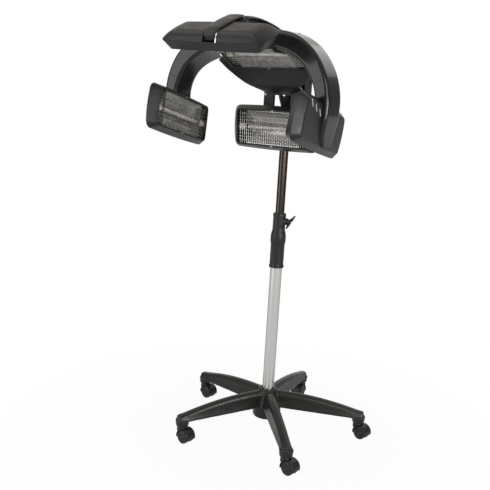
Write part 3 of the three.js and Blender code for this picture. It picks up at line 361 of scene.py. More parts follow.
def surface(name, first, second, rough, spread, grain, depth, stretch=plain, wear=None, cells=14, **fixed):
    """A material with mottled or streaked colour, uneven gloss and a fine surface relief, and, where an edge
    colour is given, a painted highlight along its edges.
    """
    made = bpy.data.materials.new(name)
    tree = node_tree(made)
    inputs = tree.nodes["Principled BSDF"].inputs
    for socket, value in fixed.items():
        inputs[socket.replace("_", " ")].default_value = value
    mottle = noise_value(tree, cells, detail=4, stretch=stretch)
    colour = mixed(tree, ranged(tree, mottle, 0, 1), first, second)
    # Painted highlight: the colour is lightened along the edges
    if wear:
        colour = mixed(tree, edge_highlight_mask(tree), colour, wear)
    smudges = noise_value(tree, smudge_cells, detail=5, stretch=stretch)
    relief = noise_value(tree, grain, detail=2, stretch=stretch)
    bump = add(tree, "Bump", {"Strength": 1.0, "Distance": depth * mm, "Height": relief})
    feed(tree, inputs["Base Color"], colour)
    feed(tree, inputs["Roughness"], ranged(tree, smudges, rough - spread, rough + spread))
    feed(tree, inputs["Normal"], bump.outputs["Normal"])
    return made


# The nylon and satin plastics' lighter edge colours are painted highlights along their edges
look_values = {
    "nylon": dict(first=(0.014, 0.013, 0.012), second=(0.019, 0.018, 0.016), rough=0.34, spread=0.06,
                  grain=1100, depth=0.02, wear=(0.036, 0.034, 0.031), Specular_IOR_Level=0.20),
    "satin_plastic": dict(first=(0.013, 0.013, 0.0135), second=(0.018, 0.018, 0.0185), rough=0.38,
                          spread=0.05, grain=1500, depth=0.03, wear=(0.028, 0.028, 0.029),
                          Specular_IOR_Level=0.19),
    "gloss_plastic": dict(first=(0.010, 0.010, 0.010), second=(0.013, 0.013, 0.013), rough=0.17, spread=0.04,
                          grain=400, depth=0.004, Specular_IOR_Level=0.25),
    "chrome": dict(first=(0.52, 0.52, 0.50), second=(0.46, 0.46, 0.44), rough=0.22, spread=0.04, grain=900,
                   depth=0.004, stretch=drawn_upright, Metallic=1.0, Specular_Tint=(0.35, 0.35, 0.35, 1)),
    "dark_chrome": dict(first=(0.042, 0.037, 0.032), second=(0.030, 0.026, 0.022), rough=0.20, spread=0.04,
                        grain=900, depth=0.004, stretch=drawn_upright, Metallic=1.0,
                        Specular_Tint=(0.3, 0.3, 0.3, 1)),
    "steel": dict(first=(0.58, 0.57, 0.54), second=(0.46, 0.45, 0.43), rough=0.28, spread=0.08, grain=900,
                  depth=0.01, Metallic=1.0),
    # The reflector's strong light and dark streaks along its length are painted reflection bands
    "reflector": dict(first=(0.40, 0.39, 0.365), second=(0.035, 0.034, 0.032), rough=0.22, spread=0.06,
                      grain=260, depth=0.006, stretch=reflection_streaks, cells=55, Metallic=0.75),
    "quartz": dict(first=(0.95, 0.93, 0.90), second=(0.90, 0.87, 0.82), rough=0.14, spread=0.04, grain=300,
                   depth=0.004, Transmission_Weight=0.5, IOR=1.46),
    "ceramic": dict(first=(0.80, 0.75, 0.66), second=(0.68, 0.62, 0.53), rough=0.55, spread=0.08, grain=1600,
                    depth=0.03),
    "tungsten": dict(first=(0.20, 0.19, 0.18), second=(0.13, 0.12, 0.12), rough=0.35, spread=0.08, grain=1600,
                     depth=0.01, Metallic=1.0),
}
looks = {look: surface(look, **values) for look, values in look_values.items()}
slots = {look: look for look in looks}
slots.update(ceramic="quartz", tungsten="steel")
bodies = frame["record"]["behaviour"]["bodies"]
body_of = {node: body for body, nodes in bodies.items() for node in nodes}

# Finished pieces
bevel_angle = 30
weld_distance = 1e-6
flat_angle = 1.5


def make(name, mesh, look, place, rides_with, stands_for=(), sharp=32):
    """A finished piece: its mesh put in place, smoothed, coloured and tied to the body it moves with."""
    piece = loose_object(placed(mesh, place), name)
    data = piece.data
    data.polygons.foreach_set("use_smooth", [True] * len(data.polygons))
    data.set_sharp_from_angle(angle=math.radians(sharp))
    data.materials.append(looks[look])
    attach(piece, body_of[rides_with])
    if stands_for:
        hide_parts(*stands_for)
    return piece


def soften(piece, width, segments=3):
    modify(piece, "BEVEL", width=width * mm, segments=segments, limit_method="ANGLE",
           angle_limit=math.radians(bevel_angle), harden_normals=True)


def stand_in(node, mesh, look, place, edge=0, segments=3, sharp=32):
    """The piece that takes a node's place, with its edges softened where a width is given."""
    piece = make(f"{node}_dressed", mesh, look, place, node, (node,), sharp)
    if edge:
        soften(piece, edge, segments)


def dressed(node, look, width, *trims):
    """A node's own solid with its edges rounded, where no finer skin is needed. Trims are taken off first."""
    mesh = bmesh.new()
    mesh.from_mesh(frame["nodes"][node].data)
    if trims:
        mesh = cut(mesh, *trims)
    bmesh.ops.remove_doubles(mesh, verts=mesh.verts, dist=weld_distance)
    bmesh.ops.dissolve_limit(mesh, angle_limit=math.radians(flat_angle), verts=mesh.verts, edges=mesh.edges)
    stand_in(node, mesh, look, Matrix.Identity(4), width)


# Lamp housings
window_length = 226
window_height = 93
rim_width = 5
end_flare = 19
side_flare = 10
side_bow = 3
end_bow = 5
rim_bow = 0.6
outline_corner = 15
least_corner = 4
window_corner = 6
widest_corner = 0.9
lamp_wall = 3
bezel_depth = 22
back_depth = 18
back_end_inset = 20
back_side_inset = 13
back_plate_inner = (1.4, 1)
back_plate_round = 0.25
seam_chamfer = 0.7
slope_shares = (0.25, 0.5, 0.75, 0.94)
rim_edge = 1.6
rim_profile = [(0.9, 0.1), (0.35, 0.6), (0, 1.5), (0, rim_width - 1.2), (0.4, rim_width - 0.4),
               (1.2, rim_width), (lamp_wall, rim_width), (lamp_wall, 1)]
corner_steps = 7
side_steps = 10
visor_window_length = 252
visor_window_height = 70
visor_bezel_depth = 25
visor_back_depth = 22
visor_end_inset = 42
visor_side_inset = 20
visor_droop = -1.5
plain_curve = [(0, 0), (1, 1)]
visor_curve = [(0, 0), (0.3, 0.5), (0.62, 0.84), (1, 1)]
crown_flare = 28
crown_back_depth = 42
crown_inset = 32
side_lamp_at = Vector((193.6, -223, -33))
side_lamp_lean = 3
side_lamp_nod = -12.5


class LampForm:
    """Sizes of one lamp housing, drawn with its length along X and its face towards -Y."""

    def __init__(self, length=window_length, height=window_height, flare=end_flare, front=bezel_depth,
                 back=back_depth, end_inset=back_end_inset, side_inset=back_side_inset, curve=plain_curve):
        self.length = length
        self.height = height
        self.front = front
        self.end = front + back
        self.end_inset = end_inset
        self.side_inset = side_inset
        self.curve = curve
        self.rim_length = length + 2 * rim_width
        self.rim_height = height + 2 * rim_width
        self.full_length = self.rim_length + 2 * flare
        self.full_height = self.rim_height + 2 * side_flare


def side_lamp_place(side, toe):
    lean = turn("Z", -side * toe) @ turn("Y", side * side_lamp_lean) @ turn("X", side_lamp_nod)
    return shift(side * side_lamp_at.x, side_lamp_at.y, side_lamp_at.z) @ lean @ turn("Z", -side * 90)


def lamp_place(y, z, nod):
    return shift(0, y, z) @ turn("X", nod)


def bowed_outline(length, height, length_bow=0, height_bow=0, corner=window_corner):
    """A rectangle with round corners and sides that bow outwards, always with as many points."""
    half_length = length / 2 - length_bow
    half_height = height / 2 - height_bow
    corner = min(corner, widest_corner * half_length, widest_corner * half_height)
    arcs = []
    for quarter, (side_x, side_z) in enumerate(((1, 1), (-1, 1), (-1, -1), (1, -1))):
        middle_x = side_x * (half_length - corner)
        middle_z = side_z * (half_height - corner)
        angles = [(quarter + share) * math.pi / 2 for share in even_shares(corner_steps)]
        arcs.append([(middle_x + corner * math.cos(a), middle_z + corner * math.sin(a)) for a in angles])
    pairs = []
    for arc, after in zip(arcs, arcs[1:] + arcs[:1]):
        pairs += arc
        (x0, z0), (x1, z1) = arc[-1], after[0]
        pairs += [(mix(x0, x1, share), mix(z0, z1, share)) for share in even_shares(side_steps)[1:-1]]
    bow_x = length_bow / half_length
    bow_z = height_bow / half_height
    return [(x * (1 + bow_x * (1 - (z / half_height) ** 2)), z * (1 + bow_z * (1 - (x / half_length) ** 2)))
            for x, z in pairs]


def housing_ring(form, y, end_inset=0, side_inset=0):
    length = form.full_length - 2 * end_inset
    height = form.full_height - 2 * side_inset
    corner = max(outline_corner - (end_inset + side_inset) / 4, least_corner)
    return ring_at(bowed_outline(length, height, end_bow, side_bow, corner), y)


def rim_ring(form, y, shrink=0):
    length = form.rim_length - 2 * shrink
    height = form.rim_height - 2 * shrink
    return ring_at(bowed_outline(length, height, rim_bow, rim_bow, window_corner + rim_width - shrink), y)


def lamp_shell(form):
    """Back half of a housing: a chamfered seam, sloping sides and a soft edge round the back plate."""
    seam = form.front + gap
    depth = form.end - seam
    outer = [housing_ring(form, seam, seam_chamfer, seam_chamfer), housing_ring(form, seam + seam_chamfer)]
    for inset, rise in rounded([*form.curve, back_plate_inner], back_plate_round, steps=6)[1:]:
        outer.append(housing_ring(form, seam + rise * depth, inset * form.end_inset, inset * form.side_inset))
    inner_back = form.end - 2 * lamp_wall
    inner = [housing_ring(form, seam, lamp_wall, lamp_wall),
             housing_ring(form, inner_back, form.end_inset + lamp_wall, form.side_inset + lamp_wall)]
    return skin(outer[::-1] + inner)


def lamp_room(form, clear):
    """The outside of a housing grown by a clearance, to cut its neighbours with."""
    rings = [rim_ring(form, -clear, -clear)]
    for inset, rise in form.curve:
        depth = mix(form.front, form.end + clear, rise)
        insets = (inset * form.end_inset - clear, inset * form.side_inset - clear)
        rings.append(housing_ring(form, depth, *insets))
    return skin(rings)


def lamp_bezel(form):
    """Front half of a housing: sloping sides, a rounded rim and the window's edge."""
    full = housing_ring(form, form.front - seam_chamfer)
    rim = rim_ring(form, rim_edge)
    rings = [housing_ring(form, form.front, inset, inset) for inset in (lamp_wall, seam_chamfer)]
    rings += [full, *(mix_rings(full, rim, share) for share in slope_shares)]
    rings += [rim_ring(form, depth, shrink) for depth, shrink in rim_profile]
    return skin(rings, closed=True)


# Lamp insides
wire_pitch = 7
row_pitch = 9.4
wire_radius = 0.55
row_radius = 0.42
weld_sink = 0.1
grille_depth = 4
grille_reach = 1
frame_front = 3.4
frame_back = 5.2
reflector_sheet = 1.2
reflector_facets = 7
reflector_room = 2
lip_reach = 2
end_plate_lean = 5
end_plate_inset = 1
end_plate_sheet = 0.8
end_room = 27
tube_depth = 15
quartz_radius = 5
quartz_wall = 1
quartz_set_back = 1
holder_radius = 8.5
holder_length = 20
holder_set_back = 1.6
holder_ribs = [(3, 0), (6.2, 0), (6.8, 0.6), (6.8, 5), (7.6, 5.6), (8.3, 6), (holder_radius, 7),
               (holder_radius, 9), (7.4, 9.6), (7.4, 11.4), (holder_radius, 12),
               (holder_radius, holder_length - 0.6), (7.9, holder_length), (3, holder_length)]
tube_sides = 28
coil_radius = 2.4
coil_pitch = 5
coil_steps = 8
coil_set_back = 4
coil_wire = 0.4
pan_dome = [(0.98, 0), (1, 0.35), (0.86, 0.75), (0.55, 1), (0.5, 1)]
recess_width = 0.22
rim_screw_sink = 0.1


def lamp_grille(form):
    """Fine upright wires welded to a few long ones, inside a frame of the same wire."""
    half_length = form.length / 2 + grille_reach
    half_height = form.height / 2 + grille_reach
    wires = []
    columns = round(form.length / wire_pitch)
    for k in range(1, columns):
        x = -form.length / 2 + k * form.length / columns
        wires.append(wire([(x, grille_depth, -half_height), (x, grille_depth, half_height)], wire_radius))
    rows = round(form.height / row_pitch)
    behind = grille_depth + wire_radius + row_radius - weld_sink
    for k in range(1, rows):
        z = -form.height / 2 + k * form.height / rows
        wires.append(wire([(-half_length, behind, z), (half_length, behind, z)], row_radius))
    outer, inner = (bowed_outline(form.length + reach, form.height + reach)
                    for reach in (2 * grille_reach, grille_reach))
    edges = ((outer, frame_front), (outer, frame_back), (inner, frame_back), (inner, frame_front))
    return together([*wires, skin([ring_at(outline, y) for outline, y in edges], closed=True)])


def reflector_line(offset, reach):
    """Depth and height along the bent sheet, from lip to lip."""
    mouth = lamp_wall + reflector_room + 2 * gap
    depth = tube_depth + holder_radius + gap - mouth
    stops = [2 * k / reflector_facets - 1 for k in range(reflector_facets + 1)]
    return [(mouth + offset + depth * (1 - stop ** 2), stop * reach) for stop in stops]


def lamp_reflector(form):
    """A sheet bent into flat facets along the lamp, with leaning end plates."""
    half = form.height / 2 - rim_width / 2
    lip = form.height / 2 + lip_reach
    inner = reflector_line(0, half)
    outer = reflector_line(reflector_sheet, half + reflector_sheet / 2)
    mouth = inner[0][0]
    deepest = max(y for y, _ in inner)
    back = mouth + reflector_sheet
    profile = [(mouth, -lip), *inner, (mouth, lip), (back, lip), *outer[::-1], (back, -lip)]
    end = form.length / 2 - end_room
    parts = [drawn_across(profile, -end, end)]
    for side in (-1, 1):
        leans = [end_plate_lean * (y - mouth) / (deepest - mouth) for y, _ in inner]
        face = [(side * (end - end_plate_inset - lean), y, z) for lean, (y, z) in zip(leans, inner)]
        parts.append(skin([face, [(x + side * end_plate_sheet, y, z) for x, y, z in face]]))
    return together(parts)


def lamp_tube(form):
    """The quartz tube, between its two ceramic holders."""
    half = form.length / 2 - holder_length - quartz_set_back
    inner = quartz_radius - quartz_wall
    profile = [(inner, -half), (quartz_radius, -half), (quartz_radius, half), (inner, half)]
    return placed(turned(profile, tube_sides, closed=True), shift(y=tube_depth) @ turn("Y", 90))


def lamp_holders(form):
    """The ribbed ceramic holders at both ends of the tube."""
    inner = form.length / 2 - holder_set_back - holder_length
    ends = [shift(y=tube_depth) @ turn("Y", side * 90) @ shift(z=inner) for side in (-1, 1)]
    return together([placed(turned(holder_ribs, tube_sides), end) for end in ends])


def lamp_filament(form):
    """The coiled heating wire inside the quartz tube."""
    half = form.length / 2 - holder_length - coil_set_back
    count = int(2 * half / coil_pitch) * coil_steps
    points = []
    for k in range(count + 1):
        angle = 2 * math.pi * k / coil_steps
        x = -half + 2 * half * k / count
        points.append((x, tube_depth + coil_radius * math.cos(angle), coil_radius * math.sin(angle)))
    return wire(points, coil_wire, sides=4)


def pan_screw(at, way, radius, height):
    """A pan-head screw at a point, facing a direction, with a cross recess."""
    head = turned([(radius * across, height * up) for across, up in pan_dome], sides=24)
    top = Vector((0, 0, height))
    reach = Vector((radius, radius * recess_width, height)) / 2
    head = cut(head, *(placed(block(top - reach, top + reach), turn("Z", spin)) for spin in (0, 90)))
    return placed(head, along(at, Vector(at) + Vector(way)))


def dress_lamp(name, form, place):
    """The pieces that every lamp shares, apart from its shell."""
    node = f"{name}_bezel"
    stand_in(node, lamp_bezel(form), "satin_plastic", place)
    make(f"{name}_wires", lamp_grille(form), "steel", place, node, (f"{name}_grille",))
    sheet = lamp_reflector(form)
    make(f"{name}_bent_sheet", sheet, "reflector", place, node, (f"{name}_reflector",), sharp=10)
    make(f"{name}_glass", lamp_tube(form), "quartz", place, node, (f"{name}_quartz_tube",))
    make(f"{name}_holders", lamp_holders(form), "ceramic", place, node)
    make(f"{name}_filament", lamp_filament(form), "tungsten", place, node)
    rim_middle = form.height / 2 + rim_width / 2
    screws = [pan_screw((0, rim_screw_sink, side * rim_middle), (0, -1, 0), radius=1.9, height=1)
              for side in (-1, 1)]
    make(f"{name}_rim_screws", together(screws), "steel", place, node)


standard = LampForm()
crown = LampForm(flare=crown_flare, back=crown_back_depth, end_inset=crown_inset, side_inset=crown_inset)
visor = LampForm(visor_window_length, visor_window_height, front=visor_bezel_depth, back=visor_back_depth,
                 end_inset=visor_end_inset, side_inset=visor_side_inset, curve=visor_curve)
visor_place = lamp_place(y=-350, z=167, nod=115) @ shift(y=-visor_bezel_depth) @ turn("Z", visor_droop)
lamps = {
    "left_lamp": (standard, side_lamp_place(-1, toe=3)),
    "right_lamp": (standard, side_lamp_place(1, toe=-1.5)),
    "rear_lamp": (standard, lamp_place(y=-78, z=-57, nod=4)),
    "crown_lamp": (crown, lamp_place(y=-155, z=125, nod=62)),
    "visor": (visor, visor_place),
}
for lamp, (form, place) in lamps.items():
    dress_lamp(lamp, form, head_place @ place)
for lamp in ("rear_lamp", "crown_lamp"):
    form, place = lamps[lamp]
    stand_in(f"{lamp}_shell", lamp_shell(form), "satin_plastic", head_place @ place)

# Side lamp shells: a falling row of slanting louvres, each with a bright bar set in it
louvre_count = 4
louvre_length = 22
louvre_width = 4.4
louvre_pitch = 25
louvre_fall = 6
louvre_forward = 55
louvre_rise = 30
louvre_slant = 52
louvre_depth = 3 * lamp_wall
louvre_end_steps = 8
bar_radius = 1.6
bar_reach = louvre_length / 2 - 1


def louvre_places(side):
    for k in range(louvre_count):
        step = k - (louvre_count - 1) / 2
        x = side * (louvre_forward + step * louvre_pitch)
        yield shift(x, standard.end, louvre_rise + step * louvre_fall) @ turn("Y", -side * louvre_slant)


def louvre_slot():
    """A flat bar with round ends, to cut a louvre with."""
    radius = louvre_width / 2
    half = louvre_length / 2 - radius
    outline = []
    for end, start in ((half, -0.5), (-half, 0.5)):
        angles = [math.pi * (start + share) for share in even_shares(louvre_end_steps)]
        outline += [(end + radius * math.cos(a), radius * math.sin(a)) for a in angles]
    return extruded(outline, -louvre_depth, past)


for name, side in hands.items():
    form, place = lamps[f"{name}_lamp"]
    node = f"{name}_lamp_shell"
    shell = cut(lamp_shell(form), *(placed(louvre_slot(), at) for at in louvre_places(side)))
    stand_in(node, shell, "satin_plastic", head_place @ place)
    bars = [placed(x_rod(bar_radius, -bar_reach, bar_reach, sides=16), at) for at in louvre_places(side)]
    make(f"{name}_louvre_bars", together(bars), "chrome", head_place @ place, node)

# Spine cover
beam_thickness = 8
beam_width = 44
beam_line = [(0, -274, 207), (0, -235, 211), (0, -180, 207), (0, -118, 194), (0, -60, 171), (0, -15, 133),
             (0, 4, 100), (0, 6, 70)]
hinge = Vector(beam_line[0])
spine_thickness = 9
spine_section = [(-1, 0), (1, 0), (1, 0.45), (0.72, 0.9), (0, 1), (-0.72, 0.9), (-1, 0.45)]
spine_corner = 8
nose_reach = 9
nose_width = 43
spine_front_width = 58
spine_rear_width = 84
spine_start = 0.03
spine_end = 0.6875
spine_steps = 44


def spine_ring(centre, out, width):
    base = beam_thickness / 2 + gap
    return band_ring(centre, out, spine_section, width / 2, base, spine_thickness, spine_corner)


def spine_cover():
    """The curved cover, from its nose over the visor's hinge to the head's rear."""
    centre, out = curve_frame(beam_line, 0)
    rings = [spine_ring(centre - Vector((0, nose_reach, 0)), out, nose_width)]
    for step in even_shares(spine_steps):
        share = spine_end * step
        if share < spine_start:
            width = mix(nose_width, spine_front_width, share / spine_start)
        else:
            along_rear = (share - spine_start) / (spine_end - spine_start)
            width = mix(spine_front_width, spine_rear_width, along_rear)
        rings.append(spine_ring(*curve_frame(beam_line, share), width))
    return skin(rings)


stand_in("spine_cover", spine_cover(), "satin_plastic", head_place, edge=1.5)

# Visor: its shell with a notch and two lugs, the strap over it and a clip in the notch
notch_width = 38
notch_depth = 14
strap_foot_width = 36
strap_rear_width = 50
strap_thickness = 4
strap_rise = 4
strap_section = [(-1, -1), (1, -1), (1, -0.4), (0.7, 0.6), (0, 1), (-0.7, 0.6), (-1, -0.4)]
strap_corner = 6
strap_end_radius = 18.5
strap_end_angle = 40
strap_steps = 36
eye_radius = 6.5
lug_thickness = 8
lug_inset = 11
visor_pin_radius = 3
clip_width = 2.4
clip_lift = 0.5


def visor_notch():
    edge = visor.full_height / 2
    return block((-notch_width / 2, visor.front - lamp_wall, edge - notch_depth),
                 (notch_width / 2, visor.end + lamp_wall, edge + lamp_wall))


def hinge_rod(radius, start, end):
    return rod(radius, (start, hinge.y, hinge.z), (end, hinge.y, hinge.z))


def visor_lug(side):
    """An arm from the shell's rear edge to an eye on the hinge pin."""
    near = side * (beam_width / 2 + running_gap)
    far = near + side * lug_thickness
    edge = visor_place @ Vector((0, (visor.front + visor.end) / 2, lug_inset - visor.full_height / 2)) - hinge
    web = block((min(near, far), 0, -eye_radius), (max(near, far), math.hypot(edge.z, edge.y), eye_radius))
    placed(web, shift(0, hinge.y, hinge.z) @ Matrix.Rotation(math.atan2(edge.z, edge.y), 4, "X"))
    return web, hinge_rod(eye_radius, near, far)


def visor_shell():
    shell = placed(cut(lamp_shell(visor), visor_notch()), visor_place)
    lugs = [part for side in (-1, 1) for part in visor_lug(side)]
    return cut(joined(shell, *lugs), hinge_rod(visor_pin_radius + gap, -2 * beam_width, 2 * beam_width))


def strap_line():
    """Points along the strap's middle, from its foot in the notch to its end above the hinge."""
    foot = visor.full_height / 2 - notch_depth + strap_thickness
    brow = visor.full_height / 2 - visor.side_inset
    lift = gap + strap_thickness / 2
    top = visor.end + strap_rise
    end = visor_place.inverted() @ (hinge + turn("X", strap_end_angle) @ Vector((0, 0, strap_end_radius)))
    return [(0, visor.front + lift, foot), (0, visor.end - strap_thickness, foot),
            (0, visor.end + lift, brow), (0, top, 0), (0, top, -brow), (0, end.y, end.z)]


def visor_strap():
    line = strap_line()
    rings = []
    for share in even_shares(strap_steps):
        half = mix(strap_foot_width, strap_rear_width, share) / 2
        centre, out = curve_frame(line, share)
        rings.append(band_ring(centre, out, strap_section, half, 0, strap_thickness / 2, strap_corner))
    return skin(rings)


def notch_clip():
    """A thin strip of bright metal down the shell's side, on the edge of the notch."""
    seam = visor.front + gap
    edge = visor.full_height / 2
    line = [(mix(seam, visor.end, rise), edge - inset * visor.side_inset) for inset, rise in visor.curve]
    ring = [(y, z + clip_lift) for y, z in line] + [(y, z - clip_lift) for y, z in reversed(line)]
    near = notch_width / 2 - clip_lift
    return drawn_across(ring, near, near + clip_width)


stand_in("visor_shell", visor_shell(), "satin_plastic", head_place, edge=0.6)
stand_in("visor_strap", visor_strap(), "satin_plastic", head_place @ visor_place, edge=0.8)
make("visor_clip", notch_clip(), "chrome", head_place @ visor_place, "visor_strap")

# Neck housing: front edge, back edge and half widths of its sections, from the crown lamp down to the neck
neck_fronts = [(-117, 118), (-107.5, 98.5), (-97, 79), (-84, 60.5), (-66, 46), (-58, 41)]
neck_backs = [(-98, 180), (-90, 165), (-72, 140), (-54, 113), (-40, 85), (-34, 71)]
neck_halves = [(163, 116), (143, 106), (118, 92), (90, 74), (56, 52), (46, 44)]
neck_edge = 5
neck_round = 6
neck_wall = 3
neck_steps = 30
neck_hollow_from = 0.19


def neck_ring(share, shrink):
    front, back, half = (curve_point(row, share) for row in (neck_fronts, neck_backs, neck_halves))
    inset = (neck_edge + shrink) / (back - front).length
    start = shrink / (back - front).length
    near, far = (side - shrink for side in half)
    corners = ((start, neck_edge - near), (start, near - neck_edge), (inset, near), (1 - inset, far),
               (1 - start, far - neck_edge), (1 - start, neck_edge - far), (1 - inset, -far), (inset, -near))
    points = [(x, *front.lerp(back, depth)) for depth, x in corners]
    return rounded(points, neck_round, closed=True, steps=3)


def neck_housing():
    shares = even_shares(neck_steps)
    body = skin([neck_ring(share, 0) for share in shares])
    hollow = [neck_ring(share, neck_wall) for share in shares if share > neck_hollow_from]
    hollow.append([(x, y + neck_edge, z - neck_edge) for x, y, z in hollow[-1]])
    form, place = lamps["crown_lamp"]
    return cut(body, skin(hollow), placed(lamp_room(form, gap), place))


stand_in("neck_housing", neck_housing(), "satin_plastic", head_place)

# Arms, drawn by angles that run up from the tip's level round the middle of the bend
arm_centre_x = 88
arm_centre_z = 18
arm_inner = Vector((122, 116))
arm_outer = Vector((161, 174))
bridge_front = -240
bridge_rear = -203
arm_root_rear = -160
arm_tip_front = -244
arm_tip_rear = -170
arm_tip_middle = (arm_tip_front + arm_tip_rear) / 2
arm_corner = 9
arm_slant = 9
arm_spread_from = 85
arm_spread_to = 37
arm_swing = 25
crown_clearance = 3
root_lift = 4
root_lift_from = 55
seam_angle = 22
seam_gap_angle = 0.25
swivel_radius = 10
swivel_length = 18
swivel_foot = 2
arm_end_drop = 102
arm_end_taper = 12
arm_end_steps = 12
arm_fall_steps = 20
knuckle_radius = 11
knuckle_front = -230.5
knuckle_rear = -212.5
arm_hinge_z = 180
arm_pin_radius = 4
arm_steps = 40
# Shares of the drop, the taper and the width, down an arm's end
arm_end_stops = [(0, 0, 1), (0.3, 0.1, 1), (0.55, 0.5, 0.98), (0.8, 0.85, 0.86), (1, 1, 0.6)]


def arm_station(side, angle):
    """Middle, outward direction and depth of an arm at an angle."""
    across = side * math.cos(math.radians(angle))
    up = math.sin(math.radians(angle))
    lift = root_lift * (max(angle - root_lift_from, 0) / (90 - root_lift_from)) ** 2
    inner = Vector((side * arm_centre_x + across * arm_inner.x, 0, arm_centre_z + up * arm_inner.y + lift))
    outer = Vector((side * arm_centre_x + across * arm_outer.x, 0, arm_centre_z + up * arm_outer.y))
    away = outer - inner
    return (inner + outer) / 2, away.normalized(), away.length


def arm_ring(side, angle):
    middle, away, depth = arm_station(side, angle)
    spread = min(max((arm_spread_from - angle) / (arm_spread_from - arm_spread_to), 0), 1)
    front = mix(bridge_front, arm_tip_front, spread)
    rear = mix(arm_root_rear, arm_tip_rear, spread)
    slant = arm_slant * math.sin(math.radians(angle)) ** 2
    ring = []
    for out, across in bowed_outline(depth, rear - front, corner=arm_corner):
        lean = slant * (0.5 - out / depth) * across / (rear - front) * 2
        point = middle + (out - lean) * away + Vector((0, (front + rear) / 2 + across, 0))
        point.x = side * max(side * point.x, arm_centre_x + gap)
        ring.append(point)
    return ring


def knuckle(side, radius, start, end):
    return rod(radius, (side * arm_centre_x, start, arm_hinge_z), (side * arm_centre_x, end, arm_hinge_z))


def swivel_rod(side, radius, length):
    middle, away, _ = arm_station(side, seam_angle)
    middle.y = arm_tip_middle
    up = Vector((-away.z * side, 0, away.x * side))
    return rod(radius, middle - swivel_foot * up, middle + length * up)


def crown_rooms(side):
    """Room for the crown lamp's end, at rest and as the arm swings past it."""
    form, place = lamps["crown_lamp"]
    pin = shift(side * arm_centre_x, 0, arm_hinge_z)
    for swing in (0, arm_swing / 3, 2 * arm_swing / 3, arm_swing):
        yield placed(lamp_room(form, crown_clearance), pin @ turn("Y", side * swing) @ pin.inverted() @ place)


def side_arm(side):
    body = skin([arm_ring(side, mix(90, seam_angle, share)) for share in even_shares(arm_steps)])
    knuckle_room = knuckle_radius + running_gap
    body = cut(body, knuckle(side, knuckle_room, bridge_front - past, knuckle_front),
               knuckle(side, knuckle_room, knuckle_rear, bridge_rear + past),
               swivel_rod(side, swivel_radius + running_gap, swivel_length + past), *crown_rooms(side))
    body = joined(body, knuckle(side, knuckle_radius, knuckle_front, knuckle_rear))
    return cut(body, knuckle(side, arm_pin_radius + gap, bridge_front - past, bridge_rear + past))


def fallen(ring, side, share):
    """An arm's last ring, part of the way down its end."""
    drop, taper, width = curve_point(arm_end_stops, share)
    return [Vector((point.x - side * taper * arm_end_taper, mix(arm_tip_middle, point.y, width),
                    point.z - drop * arm_end_drop)) for point in ring]


def arm_end(side, lamp):
    """The lower arm: it falls from the swivel seam, narrows and curls in behind the lamp."""
    top = seam_angle - seam_gap_angle
    rings = [arm_ring(side, mix(top, 0, share)) for share in even_shares(arm_end_steps)]
    last = rings[-1]
    rings += [fallen(last, side, share) for share in even_shares(arm_fall_steps)[1:]]
    form, place = lamps[lamp]
    body = joined(skin(rings), swivel_rod(side, swivel_radius, swivel_length))
    return cut(body, placed(lamp_room(form, gap), place))


for name, side in hands.items():
    stand_in(f"{name}_arm", side_arm(side), "gloss_plastic", head_place, edge=0.6)
    stand_in(f"{name}_arm_end", arm_end(side, f"{name}_lamp"), "gloss_plastic", head_place, edge=0.6)

# Neck: the socket on the mast and the screws of the neck plate
socket_side = rounded([(16.5, 1.2), (27, 37), (27, 64)], 10)[1:]
socket_profile = [(13.5, 0.4), (15.2, 0), (16.5, 1), *socket_side, (26.2, 65), (4, 65), (4, 54), (13.5, 54)]
plate_face = -33
plate_screw_sink = 0.2
plate_screw_places = [(-54, 36), (7, 36), (54, 40)]
plate_screws = [pan_screw((x, plate_face + plate_screw_sink, z), (0, -1, 0), radius=3.6, height=2)
                for x, z in plate_screw_places]
stand_in("mast_socket", turned(socket_profile, fine_sides, closed=True), "satin_plastic", head_place)
make("neck_plate_screws", together(plate_screws), "steel", head_place, "neck_bracket")

# Mast tubes
lower_tube_radius = 17.5
upper_tube_radius = 13
tube_edge = 0.5


def tube(radius, wall, bottom, top):
    inner = radius - wall
    profile = [(inner, bottom), (radius - tube_edge, bottom), (radius, bottom + tube_edge),
               (radius, top - tube_edge), (radius - tube_edge, top), (inner, top)]
    return turned(profile, fine_sides, closed=True)


lower_tube = tube(lower_tube_radius, wall=1.8, bottom=45, top=586.5)
upper_tube = tube(upper_tube_radius, wall=2, bottom=287, top=1025.2)
stand_in("lower_tube", lower_tube, "chrome", mast_place)
stand_in("upper_tube", upper_tube, "dark_chrome", mast_place)

# Clamp collar and its wing lever, which is drawn from the mast's axis at its own level
collar_top = 669.5
collar_step = 586.8
collar_split = 1.2
split_from, split_to = 10, 22
split_foot = 24
split_head = 24.5
lever_level = 647.5
lever_boss_radius = 10
lever_boss_start = 15.6
lever_boss_reach = 27
stud_radius = 4
lever_hub_radius = 8
lever_hub_length = 9
lever_hub_start = lever_boss_reach + running_gap
lever_hub_end = lever_hub_start + lever_hub_length
wing_half = 28.5
wing_turn = 33
wing_steps = 32
wing_corner = 2.4
# Offset, depth and thickness of a wing, from its tip to the hub
wing_stops = [(1.5, 4, 3), (0.8, 6.5, 5), (-0.6, 9, 7), (-2, 11, 7.4)]
lever_screw_rise = 3.4


